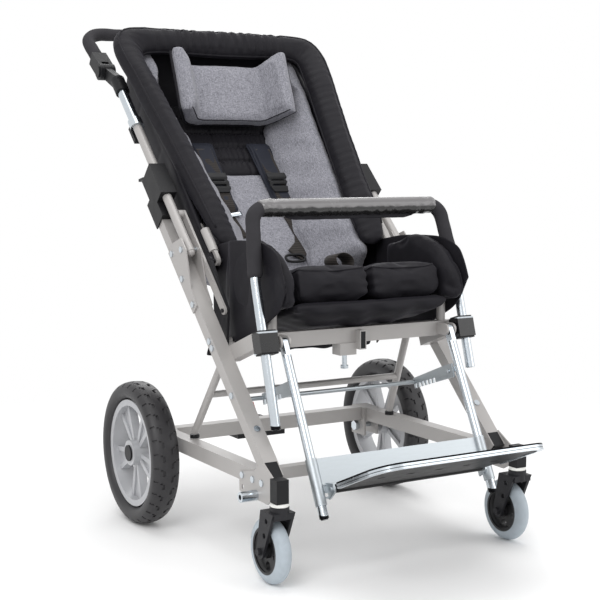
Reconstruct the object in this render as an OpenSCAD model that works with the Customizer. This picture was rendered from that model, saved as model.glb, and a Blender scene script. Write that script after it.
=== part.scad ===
// Special needs buggy: folding steel chassis, reclined padded seat, legrest with footplate,
// grab bar, telescopic push handle, spoked rear wheels and swivel casters.
// Millimetres, +Z up, forward is -Y, ground at zero. Pieces are placed from the rear axle:
// "ahead" is the distance in front of it. The whole is then shifted to centre its length.

/* [Overall] */
// Rear axle behind the middle of the overall length
axle_y = 139.53; // [100:0.01:200]
// Paint gap between pieces of one body that only touch
seat_fit = 0.1; // [0.05:0.05:0.3]
// Radial clearance of running fits
run_fit = 0.08; // [0.02:0.01:0.1]
// Gap between pieces that move past each other
move_gap = 0.6; // [0.3:0.1:2]
// Wall of the frame tubes
tube_wall = 2; // [1:0.5:4]

/* [Base frame] */
// Rails and diagonals from the centre plane
frame_x = 260; // [220:1:300]
// Rail width
rail_w = 30; // [20:1:40]
// Rail height
rail_h = 30; // [20:1:40]
// Rail middle above the ground
rail_z = 183.5; // [150:0.5:220]
// Rail end behind the axle
rail_behind = 24; // [10:1:60]
// Rail end ahead of the axle
rail_ahead = 463; // [400:1:500]
// Rear cross tube depth
rear_cross_d = 30; // [20:1:40]
// Rear cross tube ahead of the axle
rear_cross_ahead = 2; // [-10:1:20]
// Front cross tube ahead of the axle
front_cross_ahead = 470; // [440:1:490]
// Front cross tube middle above the ground
front_cross_z = 195; // [180:1:220]
// Front cross tube section
front_cross_s = 22; // [16:1:30]

/* [Diagonals] */
// Tilt of diagonals and handle tubes above the horizontal
frame_tilt = 44.5; // [38:0.5:52]
// Reference point of the diagonal ahead of the axle
diag_ahead = 342; // [300:1:380]
// Reference point of the diagonal above the ground
diag_z = 337; // [300:1:380]
// Diagonal width
diag_w = 30; // [20:1:40]
// Diagonal depth
diag_t = 25; // [20:1:40]
// Diagonal length below the reference point
diag_down = 212; // [180:1:240]
// Diagonal length above the reference point
diag_up = 500; // [440:1:560]
// Open length of the front wall over the end plug
plug_show = 31; // [10:1:50]
// Depth of a plug inside its tube
plug_depth = 40; // [15:1:60]
// Plug lip outside its tube
plug_lip = 2; // [1:0.5:5]

/* [Casters] */
// Caster stems from the centre plane
caster_x = 276; // [240:1:320]
// Stem ahead of the axle
stem_ahead = 541; // [500:1:580]
// Trail of the caster wheel behind its stem
caster_trail = 33; // [20:1:50]
// Caster wheel diameter
caster_d = 125; // [100:5:200]
// Caster wheel width
caster_w = 29; // [20:1:40]
// Caster hub radius
caster_hub_r = 43; // [30:1:50]
// Caster hub web thickness
caster_web_t = 12; // [6:1:20]
// Holes in the caster hub
caster_holes = 5; // [3:1:8]
// Radius of a hub hole
caster_hole_r = 8; // [4:0.5:12]
// Hub boss radius
caster_boss_r = 14; // [10:1:20]
// Caster axle diameter
caster_axle_d = 8; // [6:1:12]
// Nut width across corners
nut_d = 15; // [10:1:24]
// Nut height
nut_h = 6; // [4:0.5:12]
// Fork inner width
fork_gap = 35; // [30:1:50]
// Fork arm thickness
fork_t = 6; // [3:0.5:10]
// Fork crown diameter
crown_d = 36; // [28:1:48]
// Fork bridge bottom above the ground
bridge_z = 130; // [126:1:140]
// Fork bridge thickness
bridge_t = 12; // [8:1:20]
// Fork crown top above the ground
crown_z = 152; // [145:1:165]
// Fork bridge reach to the front of the stem
bridge_front = 17; // [10:1:30]
// Fork bridge reach behind the stem
bridge_back = 30; // [15:1:40]
// Radius of the fork arm end
arm_r = 13; // [10:1:20]
// Radius of the lightening holes in the fork arm
arm_hole_r = 5; // [3:0.5:8]
// Stem diameter
stem_d = 12; // [10:1:16]
// Stem length above the crown
stem_len = 38; // [25:1:60]
// Stem housing section
housing_s = 25; // [20:1:32]
// Stem housing bottom above the ground
housing_z = 158; // [150:1:170]
// Stem housing height
housing_h = 44; // [30:1:60]
// Washer diameter
washer_d = 34; // [28:1:44]

/* [Front side plates] */
// Side plate thickness
plate_t = 3; // [2:0.5:6]
// Side plate rear edge ahead of the axle
plate_rear = 388; // [360:1:420]
// Side plate front edge ahead of the axle
plate_front = 528; // [500:1:540]
// Side plate bottom above the ground
plate_low = 145; // [143:1:150]
// Side plate rear corner above the ground
plate_rear_top = 186; // [170:1:198]
// Side plate peak ahead of the axle
plate_peak = 478; // [450:1:500]
// Side plate peak above the ground
plate_peak_z = 222; // [200:1:240]
// Side plate front corner above the ground
plate_front_top = 194; // [180:1:210]
// Hole in the side plate
plate_hole_d = 10; // [6:0.5:16]
// Side plate hole ahead of the axle
plate_hole_ahead = 402; // [395:1:440]
// Tie-down sleeve ahead of the axle
tie_ahead = 456; // [430:1:490]
// Tie-down sleeve above the ground
tie_z = 154; // [148:1:165]
// Tie-down sleeve diameter
tie_d = 20; // [16:1:30]
// Tie-down sleeve bore
tie_bore = 10; // [6:0.5:14]
// Tie-down sleeve length
tie_len = 34; // [20:1:50]

/* [Rear wheels] */
// Rear wheel track between tyre middles
rear_track = 636; // [560:1:680]
// Rear wheel diameter
rear_d = 305; // [280:1:330]
// Tyre width
tyre_w = 60; // [40:1:70]
// Tyre section height
tyre_h = 38; // [25:1:45]
// Rim ring thickness
rim_t = 13; // [8:1:20]
// Rim ring width
rim_w = 42; // [30:1:50]
// Spoke pairs
spoke_pairs = 5; // [3:1:7]
// Half angle between the spokes of a pair
spoke_split = 12; // [8:1:18]
// Spoke width
spoke_w = 10; // [6:1:10]
// Spoke thickness
spoke_t = 18; // [8:1:30]
// Wheel hub radius
hub_r = 27; // [20:1:40]
// Wheel hub length
hub_len = 48; // [40:1:60]
// Hub cap radius
cap_r = 17; // [12:1:25]
// Hub cap height
cap_h = 4; // [2:0.5:8]
// Rear axle diameter
axle_d = 12; // [10:0.5:16]
// Axle end inside the frame from the centre plane
axle_in = 232; // [220:1:240]
// Axle nut width across corners
axle_nut_d = 24; // [18:1:30]
// Axle nut height
axle_nut_h = 10; // [6:1:14]
// Axle bracket thickness
axle_plate_t = 5; // [3:0.5:8]
// Axle bracket reach ahead of the axle
axle_plate_front = 30; // [20:1:60]
// Axle bracket drop below the axle
axle_plate_drop = 20; // [14:1:30]
// Axle spacer diameter
spacer_d = 26; // [20:1:36]

/* [Rear struts] */
// Strut foot from the centre plane
strut_x = 246; // [238:1:256]
// Strut foot ahead of the axle
strut_ahead = 125; // [110:1:140]
// Strut foot above the ground
strut_z = 210; // [204:1:220]
// Strut top above the ground
strut_top = 416; // [380:1:440]
// Strut lean forward for each unit of height
strut_lean_share = 0.56; // [0.3:0.01:0.8]
// Strut lean inward for each unit of height
strut_in_share = 0.14; // [0:0.01:0.25]
// Strut diameter
strut_d = 16; // [12:1:22]
// Cross bar diameter
strut_bar_d = 14; // [10:1:15]
// Cross bar above the ground
strut_bar_z = 296; // [270:1:320]
// Strut foot bush diameter
bush_d = 20; // [16:1:28]
// Strut head pin diameter
strut_pin_d = 12; // [8:1:16]

/* [Fold hardware] */
// Handle tube axis in front of the diagonal axis
handle_off = 41; // [36:0.5:48]
// Fold pivot along the diagonal from its reference point
fold_at = 326; // [300:1:350]
// Fold plate bottom along the diagonal
fold_low = 200; // [180:1:230]
// Fold plate top along the diagonal
fold_high = 364; // [345:1:380]
// Fold plate reach in front of the diagonal axis
fold_reach = 56; // [48:1:64]
// Fold plate shoulder along the diagonal
fold_shoulder = 240; // [220:1:300]
// Fold plate shoulder in front of the diagonal axis
fold_shoulder_n = 18; // [12:1:30]
// Fold plate top front corner along the diagonal
fold_corner = 345; // [330:1:360]
// Pivot pin diameter
pin_d = 8; // [6:0.5:12]
// Rivet head diameter
rivet_d = 13; // [8:0.5:18]
// Rivet head height
rivet_h = 2.5; // [1:0.5:5]
// Link bar thickness
link_t = 5; // [3:0.5:8]
// Link bar width
link_w = 17; // [12:1:24]
// Link bar middle from the centre plane
link_x = 238.7; // [234:0.1:240]
// Link foot pivot ahead of the axle
link_ahead = 252; // [230:1:270]
// Link foot pivot above the ground
link_z = 478; // [450:1:500]
// Link head along the handle tube from the fold pivot
link_head = 100; // [80:1:120]
// Hinge bracket thickness
hinge_t = 5; // [3:0.5:8]
// Hinge bracket middle from the centre plane
hinge_x = 232.5; // [228:0.1:234]
// Hinge bracket width
hinge_w = 17; // [12:1:24]
// Hinge bracket foot ahead of the axle
hinge_foot_ahead = 246; // [240:1:280]
// Hinge bracket foot above the ground
hinge_foot_z = 404; // [395:1:430]

/* [Push handle] */
// Handle tube diameter
handle_d = 20; // [16:1:25]
// Handle tube length above the fold pivot
handle_up = 470; // [400:1:520]
// Handle tube end below the fold pivot
handle_down = 9; // [6:1:20]
// Ball plug diameter
ball_d = 18; // [14:1:24]
// Telescopic tube diameter
slide_d = 24; // [22:1:30]
// Telescopic tube bottom above the fold pivot
slide_low = 364; // [340:1:400]
// Telescopic tube top above the fold pivot
slide_high = 513; // [480:1:540]
// Lock sleeve half width
sleeve_half = 18.4; // [16:0.1:26]
// Lock sleeve top above the fold pivot
sleeve_high = 236; // [200:1:260]
// Lock sleeve front bottom above the fold pivot
sleeve_low = 150; // [130:1:180]
// Lock sleeve saddle bottom above the fold pivot
saddle_low = 112; // [100:1:130]
// Lock sleeve thickness in front of the tube axis
sleeve_front = 15; // [12:1:22]
// Saddle depth behind the tube axis
saddle_back = 58; // [45:1:66]
// Latch lever length
latch_len = 62; // [40:1:90]
// Latch lever thickness
latch_t = 6; // [3:0.5:10]
// Latch lever width
latch_w = 22; // [12:1:30]
// Latch hook length
hook_len = 24; // [10:1:30]
// Latch hook bend
hook_bend = 55; // [20:5:80]
// Latch pivot above the fold pivot
latch_at = 188; // [170:1:200]
// Clamp collar diameter
collar_d = 32; // [28:1:40]
// Clamp collar height
collar_h = 22; // [15:1:30]
// Clamp lever length
clamp_len = 46; // [30:1:60]
// Clamp lever thickness
clamp_t = 9; // [5:0.5:14]
// Clamp lever width
clamp_w = 16; // [10:1:24]
// Knuckle pivot above the fold pivot
knuckle_at = 588; // [560:1:620]
// Knuckle pivot behind the handle tube axis
knuckle_back = 33; // [20:1:45]
// Knuckle boss diameter
knuckle_d = 38; // [30:1:46]
// Knuckle tongue thickness
tongue_t = 16; // [10:1:22]
// Knuckle cheek thickness
cheek_t = 9; // [6:0.5:14]
// Knuckle socket diameter
socket_d = 32; // [28:1:40]
// Knuckle socket length
socket_len = 34; // [24:1:50]
// Knuckle button diameter
button_d = 25; // [16:1:32]
// Knuckle button height
button_h = 4; // [2:0.5:8]
// Tilt of the push bar above the horizontal
bar_tilt = 35; // [0:1:60]
// Push bar reach from the knuckle pivot
bar_reach = 178; // [140:1:220]
// Push bar tube diameter
bar_d = 20; // [16:1:25]
// Push bar foam diameter
foam_d = 30; // [24:1:36]
// Push bar corner radius
bar_corner = 55; // [35:1:90]
// Foam start from the knuckle pivot
foam_from = 62; // [50:1:90]

/* [Seat frame] */
// Seat cross tube ahead of the axle
seat_bar_ahead = 380; // [370:1:395]
// Seat cross tube middle above the ground
seat_bar_z = 430; // [400:1:450]
// Seat cross tube depth
seat_bar_d = 20; // [16:1:30]
// Seat cross tube height
seat_bar_h = 30; // [20:1:40]
// Seat cross tube half length
seat_bar_half = 220; // [200:1:225]
// Side rail width
side_rail_w = 25; // [20:1:25]
// Side rail fall to the rear
side_rail_fall = 20; // [0:1:30]
// Side rail length behind the cross tube middle
side_rail_len = 110; // [100:1:140]
// Seat post from the centre plane
post_x = 200; // [190:1:210]
// Seat post diameter
post_d = 18; // [14:1:22]
// Seat post height
post_h = 41; // [30:1:60]
// Pommel socket from the centre plane, to the left
pommel_x = 10; // [0:1:20]
// Pommel socket width
pommel_w = 15; // [12:1:30]
// Pommel socket height
pommel_h = 38; // [25:1:45]
// Pommel socket length
pommel_len = 46; // [40:1:60]
// Pommel socket front ahead of the axle
pommel_front = 408; // [404:1:440]
// Pommel socket middle above the ground
pommel_z = 421; // [405:1:430]
// Pommel clamp block width
block_w = 38; // [25:1:50]
// Pommel clamp block height
block_h = 24; // [15:1:35]
// Pommel screw diameter
screw_d = 10; // [6:0.5:14]
// Pommel screw length
screw_len = 28; // [15:1:40]
// Legrest ear from the centre plane
leg_x = 195; // [180:1:205]
// Legrest pivot ahead of the axle
leg_ahead = 414; // [405:1:425]
// Legrest pivot above the ground
leg_z = 430; // [415:1:440]
// Legrest ear thickness
ear_t = 4; // [3:0.5:8]
// Legrest ear radius
ear_r = 12; // [9:0.5:16]

/* [Grab bar] */
// Grab bar legs from the centre plane
grab_x = 236; // [225:1:245]
// Grab bar axis ahead of the axle at the clamp
grab_ahead = 412; // [405:1:425]
// Grab clamp middle above the ground
grab_z = 431; // [415:1:445]
// Backward lean of the grab bar
grab_lean = 16; // [5:1:25]
// Grab bar tube diameter
grab_d = 19; // [16:1:25]
// Right leg length below the clamp middle
grab_right = 84; // [60:1:110]
// Left leg length below the clamp middle
grab_left = 165; // [110:1:180]
// Straight leg above the clamp middle
grab_straight = 118; // [90:1:150]
// Upper corner from the centre plane
grab_shoulder_x = 221; // [218:1:236]
// Bend radius of the grab bar
grab_bend = 30; // [25:1:32]
// Pad axis above the clamp middle
grab_top = 262; // [240:1:290]
// Pad half length
pad_half = 184; // [150:1:200]
// Grab foam diameter
grab_foam_d = 29; // [24:1:36]
// Right foam bottom above the clamp middle
foam_right = 84; // [60:1:120]
// Left foam bottom above the clamp middle
foam_left = 126; // [60:1:150]
// Pad diameter
pad_d = 34; // [26:1:42]
// Pad flap height below the roll
flap_h = 9; // [4:1:16]
// Pad flap thickness
flap_t = 3; // [2:0.5:6]
// Clamp insert width
insert_w = 36; // [32:1:50]
// Clamp insert depth
insert_d = 26; // [24:1:36]
// Clamp insert height
insert_h = 46; // [30:1:60]
// Clamp insert middle from the centre plane
insert_x = 232; // [225:1:240]
// Steel loop thickness
loop_t = 2; // [1:0.5:4]
// Steel loop height
loop_h = 40; // [24:1:50]
// Clamp tab width
tab_w = 10; // [6:1:12]
// Clamp tab length to the seat cross tube
tab_len = 8; // [4:0.5:12]

/* [Legrest] */
// Forward lean of the legs
leg_lean = 26; // [15:1:40]
// Leg tube diameter
leg_d = 18; // [14:1:22]
// Leg tube length below the pivot
leg_len = 342; // [300:1:380]
// Flattened top length
leg_flat = 26; // [18:1:40]
// Toothed plate pivot below the leg pivot along the leg
rack_at = 84; // [60:1:110]
// Toothed plate pivot behind the leg axis
rack_back = 20; // [14:1:30]
// Toothed plate thickness
rack_t = 4; // [2:0.5:6]
// Toothed plate middle from the centre plane
rack_x = 183.4; // [180:0.1:184]
// Toothed plate length behind its pivot
rack_len = 128; // [100:1:160]
// Toothed plate fall to the rear
rack_fall = 18; // [5:1:30]
// Toothed plate half height at the pivot
rack_half = 14; // [10:1:20]
// Toothed plate top at the rear
rack_rear_top = 8; // [4:1:14]
// Tooth depth
tooth_h = 10; // [5:1:14]
// Tooth pitch
tooth_pitch = 13; // [8:1:18]
// Slot between teeth
tooth_slot = 8; // [4:1:12]
// Slots in a plate
tooth_slots = 6; // [4:1:8]
// Cross rod diameter
rack_rod_d = 9; // [6:1:12]
// Cross rod half length
rack_rod_half = 212; // [195:1:216]

/* [Footplate] */
// Foot sleeve diameter
foot_d = 22; // [20:1:28]
// Foot sleeve top below the leg pivot along the leg
foot_top = 230; // [200:1:260]
// Foot sleeve bottom below the leg pivot along the leg
foot_low = 318; // [290:1:330]
// Heel panel height
heel_h = 66; // [40:1:90]
// Heel panel thickness
heel_t = 2; // [1:0.5:4]
// Footplate hinge below the leg pivot along the leg
foot_hinge = 293; // [270:1:310]
// Footplate hinge in front of the leg axis
foot_hinge_n = 17; // [14:1:30]
// Footplate bracket middle from the centre plane
foot_ear_x = 174; // [165:1:178]
// Footplate bracket half height
foot_ear_half = 16; // [10:1:24]
// Footplate toe rise above the horizontal
toe_rise = 23; // [0:1:35]
// Footplate length from the hinge
foot_len = 200; // [160:1:240]
// Footplate half width
foot_half = 190; // [150:1:192]
// Footplate half width beside the hinge
foot_root_half = 168; // [140:1:170]
// Footplate root length beside the hinge brackets
foot_root = 44; // [30:1:60]
// Footplate front corner radius
foot_corner = 45; // [20:1:70]
// Footplate tray thickness
tray_t = 4; // [2:0.5:8]
// Footplate rim width
rim_edge_w = 9; // [5:1:15]
// Footplate rim height
rim_edge_h = 12; // [6:1:18]
// Footplate mat thickness
mat_t = 4; // [2:0.5:8]
// Footplate mat rib pitch
rib_pitch = 12; // [6:1:24]
// Footplate mat groove depth
rib_h = 1.5; // [0.5:0.5:3]

/* [Brake] */
// Brake pedal from the centre plane, to the left
pedal_x = 27; // [0:1:80]
// Brake pedal width
pedal_w = 26; // [15:1:40]
// Brake pedal length
pedal_len = 42; // [25:1:60]
// Brake pedal thickness
pedal_t = 8; // [4:1:12]
// Brake pedal rise above the horizontal
pedal_rise = 52; // [20:1:70]
// Brake pivot behind the axle
pedal_behind = 26; // [22:1:40]
// Brake pivot above the ground
pedal_z = 190; // [180:1:200]
// Brake housing width
brake_w = 120; // [60:1:160]
// Brake housing height
brake_h = 11; // [6:1:20]

/* [Seat] */
// Cushion front bottom edge ahead of the axle
cushion_ahead = 432; // [410:1:450]
// Cushion front bottom edge above the ground
cushion_z = 507; // [490:1:525]
// Seat fall to the rear
seat_fall = 14; // [0:1:25]
// Width of one cushion lobe
lobe_w = 163; // [140:1:180]
// Cushion length
lobe_len = 300; // [260:1:310]
// Cushion thickness
lobe_t = 70; // [50:1:80]
// Edge radius of a lobe
lobe_r = 18; // [10:1:24]
// Crown of a lobe above its edges
lobe_crown = 9; // [4:1:16]
// Gap between the lobes
lobe_gap = 6; // [3:1:20]
// Seat board thickness under the cushion
board_t = 14; // [8:1:24]
// Seat board half width
board_half = 178.9; // [165:0.1:184]
// Underside bag half width
bag_half = 165; // [140:1:178]
// Underside bag depth
bag_t = 30; // [20:1:45]
// Underside bag setback
bag_back = 22; // [0:1:60]
// Underside bag length
bag_len = 210; // [150:1:260]
// Side panel from the centre plane
panel_x = 217.2; // [216:0.1:218]
// Side panel thickness
panel_t = 4; // [2:0.5:8]
// Side panel rear edge ahead of the axle
panel_rear = 212; // [200:1:240]
// Side panel front edge ahead of the axle
panel_front = 350; // [320:1:360]
// Side panel top above the ground
panel_top = 596; // [560:1:610]
// Side panel bottom above the ground
panel_low = 452; // [446:1:480]
// Rear skirt top ahead of the axle
skirt_ahead = 139.8; // [136:0.1:142]
// Rear skirt top above the ground
skirt_z = 440; // [436:1:444]
// Rear skirt length
skirt_len = 85; // [60:1:120]
// Rear skirt tilt
skirt_tilt = 65; // [60:1:90]
// Rear skirt thickness
skirt_t = 6; // [3:0.5:10]
// Rear skirt half width
skirt_half = 205; // [180:1:215]
// Wing middle from the centre plane
wing_x = 197; // [190:1:205]
// Wing padding thickness
wing_d = 34; // [24:1:44]
// Wing rear edge ahead of the axle
wing_rear = 215; // [205:1:240]
// Wing bottom above the ground
wing_low = 512; // [505:1:530]
// Wing rear bottom above the ground
wing_rear_low = 482; // [470:1:500]
// Wing rear top above the ground
wing_rear_top = 582; // [560:1:600]
// Wing crest ahead of the axle
wing_crest = 300; // [270:1:330]
// Wing crest above the ground
wing_crest_z = 606; // [580:1:615]
// Wing brow ahead of the axle
wing_brow = 372; // [340:1:390]
// Wing brow above the ground
wing_brow_z = 588; // [560:1:600]
// Wing nose ahead of the axle
wing_nose = 420; // [400:1:440]
// Wing nose above the ground
wing_nose_z = 552; // [530:1:570]
// Wing toe ahead of the axle
wing_toe = 432; // [415:1:445]

/* [Backrest] */
// Backrest hinge ahead of the axle
back_ahead = 178; // [160:1:200]
// Backrest hinge above the ground
back_z = 572; // [550:1:590]
// Backrest tilt above the horizontal
back_tilt = 47; // [40:1:70]
// Hinge tube from the centre plane
stub_x = 217; // [210:1:218]
// Hinge tube diameter
stub_d = 21; // [18:1:24]
// Hinge tube offset in front of the hinge
stub_n = 2; // [0:0.5:8]
// Hinge tube end along the back
stub_end = 80; // [60:1:100]
// Flattened end thickness
flat_t = 8; // [4:0.5:10]
// Back frame tube diameter
back_d = 18; // [14:1:22]
// Back frame corner radius
back_bend = 60; // [40:1:100]
// Back frame tube behind the hinge plane
back_n = 14; // [10:1:24]
// Back frame top along the back
back_top = 652; // [620:1:680]
// Shell half width
shell_half = 202; // [195:1:206]
// Shell wall thickness
shell_t = 12; // [6:1:14]
// Shell bottom along the back
shell_low = 30; // [20:1:60]
// Shell top along the back
shell_top = 604; // [580:1:620]
// Bolster width
bolster_w = 94; // [70:1:110]
// Bolster thickness
bolster_t = 56; // [40:1:70]
// Bolster middle in front of the hinge plane
bolster_n = 23.2; // [15:0.1:30]
// Bolster foot along the back
bolster_low = 90; // [80:1:150]
// Bolster foot middle from the centre plane
bolster_x = 171; // [160:1:185]
// Bolster flare to the outside going up
bolster_flare = 6.5; // [0:0.5:10]
// Bolster top middle along the back
bolster_top = 620; // [580:1:640]
// Bolster corner radius at its middle line
bolster_corner = 72; // [50:1:100]
// Back pad front behind the hinge plane
panel_n = 92; // [70:1:110]
// Back pad thickness
back_pad_t = 26; // [15:1:40]
// Back pad half width
back_pad_half = 128; // [110:1:140]
// Back pad foot along the back
pad_low = 4; // [0:1:20]
// Back pad top along the back
pad_top = 560; // [540:1:575]
// Back pad channel pitch
channel_pitch = 58; // [40:1:90]
// Back pad channels
channels = 5; // [3:1:8]
// First back pad channel along the back
channel_from = 90; // [60:1:140]
// Back pad channel width
channel_w = 7; // [4:1:14]
// Back pad channel depth
channel_h = 5; // [2:1:10]
// Side pad front edge from the centre plane
side_pad_x = 152; // [140:1:165]
// Side pad foot along the back
side_pad_low = 40; // [30:1:80]
// Side pad top along the back
side_pad_top = 352; // [300:1:360]
// Side strip thickness above the side pads
strip_t = 12; // [6:1:16]

/* [Headrest and harness] */
// Headrest bottom along the back
head_low = 405; // [395:1:415]
// Headrest middle behind the hinge plane at its foot
head_n = 67; // [60:1:72]
// Headrest lean to the front
head_lean = 17; // [5:1:25]
// Headrest height
head_h = 172; // [150:1:240]
// Headrest middle half width
head_half = 83; // [60:1:100]
// Headrest thickness
head_t = 36; // [24:1:50]
// Headrest wing length
head_wing = 72; // [50:1:110]
// Headrest wing angle
head_angle = 33; // [20:1:60]
// Headrest dip depth between the wings
head_dip = 30; // [10:1:50]
// Headrest post from the centre plane
head_post_x = 40; // [30:1:44]
// Headrest post above the headrest foot
head_post = 95; // [60:1:120]
// Headrest post diameter
head_post_d = 12; // [8:1:16]
// Shoulder pad from the centre plane
strap_x = 75; // [72:1:90]
// Shoulder pad width
strap_pad_w = 52; // [40:1:64]
// Shoulder pad thickness
strap_pad_t = 12; // [8:1:18]
// Shoulder pad bottom along the back
strap_pad_low = 226; // [180:1:260]
// Shoulder pad top along the back
strap_pad_top = 375; // [340:1:380]
// Strap width
strap_w = 38; // [25:1:50]
// Strap thickness
strap_t = 3; // [1.5:0.5:5]
// Strap bottom along the back
strap_low = 60; // [20:1:80]
// Buckle bottom along the back
buckle_at = 288; // [240:1:330]
// Buckle height
buckle_h = 30; // [20:1:45]
// Buckle thickness above the pad
buckle_t = 7; // [4:1:12]

/* [Hidden] */
$fn = 48;
// Overrun of every cut
over = 1;
// Stepped section of the bolster: edge height and crown width as shares of its size
crown_shares = [0.6, 0.76];
// Straight steps around a bolster corner
corner_steps = 12;
// Facets of the padded forms
soft_fn = 24;
rail_in = frame_x - rail_w / 2;
rail_out = frame_x + rail_w / 2;
rail_top = rail_z + rail_h / 2;
rear_r = rear_d / 2;
caster_r = caster_d / 2;
rear_x = rear_track / 2;
fold_y = -diag_ahead + fold_at * cos(frame_tilt) - handle_off * sin(frame_tilt);
fold_z = diag_z + fold_at * sin(frame_tilt) + handle_off * cos(frame_tilt);
strut_rise = strut_top - strut_z;
bar_rise = strut_bar_z - strut_z;
strut_foot = [strut_x, -strut_ahead, strut_z];
strut_head = strut_foot + strut_rise * [-strut_in_share, -strut_lean_share, 1];
strut_mid = strut_foot + bar_rise * [-strut_in_share, -strut_lean_share, 1];
link_top_y = fold_y + link_head * cos(frame_tilt);
link_top_z = fold_z + link_head * sin(frame_tilt);
link_len = norm([link_top_y + link_ahead, link_top_z - link_z]);
link_tilt = atan2(link_top_z - link_z, link_top_y + link_ahead);
hinge_tilt = atan2(back_z - link_z, link_ahead - back_ahead);
hinge_len = norm([link_ahead - back_ahead, back_z - link_z]);
foot_tilt = atan2(link_z - hinge_foot_z, hinge_foot_ahead - link_ahead);
foot_bar = norm([hinge_foot_ahead - link_ahead, link_z - hinge_foot_z]);
leg_tilt = 90 - leg_lean;
grab_tilt = 90 - grab_lean;
tie_x = rail_out + plate_t;
axle_out = rear_x + hub_len / 2;
block_x = -pommel_x - (pommel_w + block_w) / 2;
shell_in = shell_half - shell_t;
bucket_back = panel_n + back_pad_t;
bucket_front = bolster_t / 2 - bolster_n + seat_fit;
flare_c = cos(bolster_flare);
flare_s = sin(bolster_flare);
arc_s = bolster_top - bolster_corner;
side_len = (arc_s - bolster_low - bolster_corner * flare_s) / flare_c;
arc_x = bolster_x + side_len * flare_s - bolster_corner * flare_c;
foam_left_x = grab_x + (grab_shoulder_x - grab_x) * (foam_left - grab_straight) / (grab_top - grab_straight);
wing_path = [[-wing_rear, wing_rear_top], [-wing_crest, wing_crest_z], [-wing_brow, wing_brow_z],
             [-wing_nose, wing_nose_z], [-wing_toe, wing_low]];

frame_grey = "#BDB8B3";
chrome = "#D5DBE0";
black = "#232326";
cloth = "#2D2C31";
melange = "#97979D";
vinyl = "#6D6B6C";
foam = "#38383A";

module placed() { translate([0, axle_y, 0]) children(); }
module pair() {
    children();
    mirror([1, 0, 0]) children();
}
module spot(x, ahead, z) { translate([x, -ahead, z]) children(); }
module tilted(ahead, z, a) { translate([0, -ahead, z]) rotate([a, 0, 0]) children(); }
module rod_x(d, l) { rotate([0, 90, 0]) cylinder(h = l, d = d, center = true); }
module rod_y(d, from, to) { translate([0, from, 0]) rotate([-90, 0, 0]) cylinder(h = to - from, d = d); }
module pipe_y(d, bore, from, to) {
    difference() {
        rod_y(d, from, to);
        rod_y(bore, from - over, to + over);
    }
}
module box_y(w, t, from, to) { translate([-w / 2, from, -t / 2]) cube([w, to - from, t]); }
module duct_y(w, t, from, to) {
    difference() {
        box_y(w, t, from, to);
        box_y(w - 2 * tube_wall, t - 2 * tube_wall, from - over, to + over);
    }
}
module duct_x(l, d, h) {
    difference() {
        cube([l, d, h], center = true);
        cube([l + 2 * over, d - 2 * tube_wall, h - 2 * tube_wall], center = true);
    }
}
module sheet_x(pts, t) { rotate([90, 0, 90]) linear_extrude(height = t, center = true) polygon(pts); }
module rod_between(p, q, d) {
    v = q - p;
    l = norm(v);
    translate(p) rotate([0, acos(v[2] / l), atan2(v[1], v[0])]) cylinder(h = l, d = d);
}
// A profile carried along straight runs joined by bends: each run is [length, turn at its end]
module bend_run(runs, r, i = 0) {
    l = runs[i][0];
    a = runs[i][1];
    rotate([-90, 0, 0]) linear_extrude(height = l) children();
    if (a != 0) {
        mirror([a < 0 ? 1 : 0, 0, 0]) translate([-r, l, 0]) rotate_extrude(angle = abs(a))
            translate([r, 0]) children();
        translate([-sign(a) * r, l, 0]) rotate([0, 0, a]) translate([sign(a) * r, 0, 0])
            bend_run(runs, r, i + 1) children();
    }
}
function heading(pts, i) = atan2(pts[i + 1][1] - pts[i][1], pts[i + 1][0] - pts[i][0]);
function turn(pts, i) = (heading(pts, i) - heading(pts, i - 1) + 540) % 360 - 180;
function trim(pts, i, r) = i == 0 || i == len(pts) - 1 ? 0 : r * tan(abs(turn(pts, i)) / 2);
function runs(pts, r) = [for (i = [0 : len(pts) - 2])
    [norm(pts[i + 1] - pts[i]) - trim(pts, i, r) - trim(pts, i + 1, r),
     i == len(pts) - 2 ? 0 : turn(pts, i + 1)]];
module along(pts, r) { translate(pts[0]) rotate(heading(pts, 0) - 90) bend_run(runs(pts, r), r) children(); }
module ring(d, bore) {
    difference() {
        circle(d = d);
        circle(d = bore);
    }
}
module stadium(w, t) {
    square([w - t, t], center = true);
    translate([(w - t) / 2, 0]) circle(d = t);
    translate([-(w - t) / 2, 0]) circle(d = t);
}
module bar_eye(l, w, t, bore) {
    difference() {
        union() {
            box_x(t, l, w);
            rod_x(w, t);
            translate([0, l, 0]) rod_x(w, t);
        }
        rod_x(bore, t + 2 * over);
    }
}
module box_x(t, l, w) { translate([-t / 2, 0, -w / 2]) cube([t, l, w]); }
module on_diag() { tilted(diag_ahead, diag_z, frame_tilt) children(); }
module on_handle() { translate([0, fold_y, fold_z]) rotate([frame_tilt, 0, 0]) children(); }
module on_leg() { tilted(leg_ahead, leg_z, leg_tilt) children(); }
module on_grab() { tilted(grab_ahead, grab_z, grab_tilt) children(); }
module on_back() { tilted(back_ahead, back_z, back_tilt) children(); }
module on_seat() { tilted(cushion_ahead, cushion_z, -seat_fall) children(); }
module on_knuckle() {
    on_handle() translate([0, knuckle_at, -knuckle_back]) rotate([bar_tilt - frame_tilt, 0, 0]) children();
}
module on_rack() {
    on_leg() translate([0, -rack_at, -rack_back]) rotate([-rack_fall - leg_tilt, 0, 0]) children();
}
module on_foot() {
    on_leg() translate([0, -foot_hinge, foot_hinge_n]) rotate([-toe_rise - leg_tilt, 0, 0]) children();
}

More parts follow.
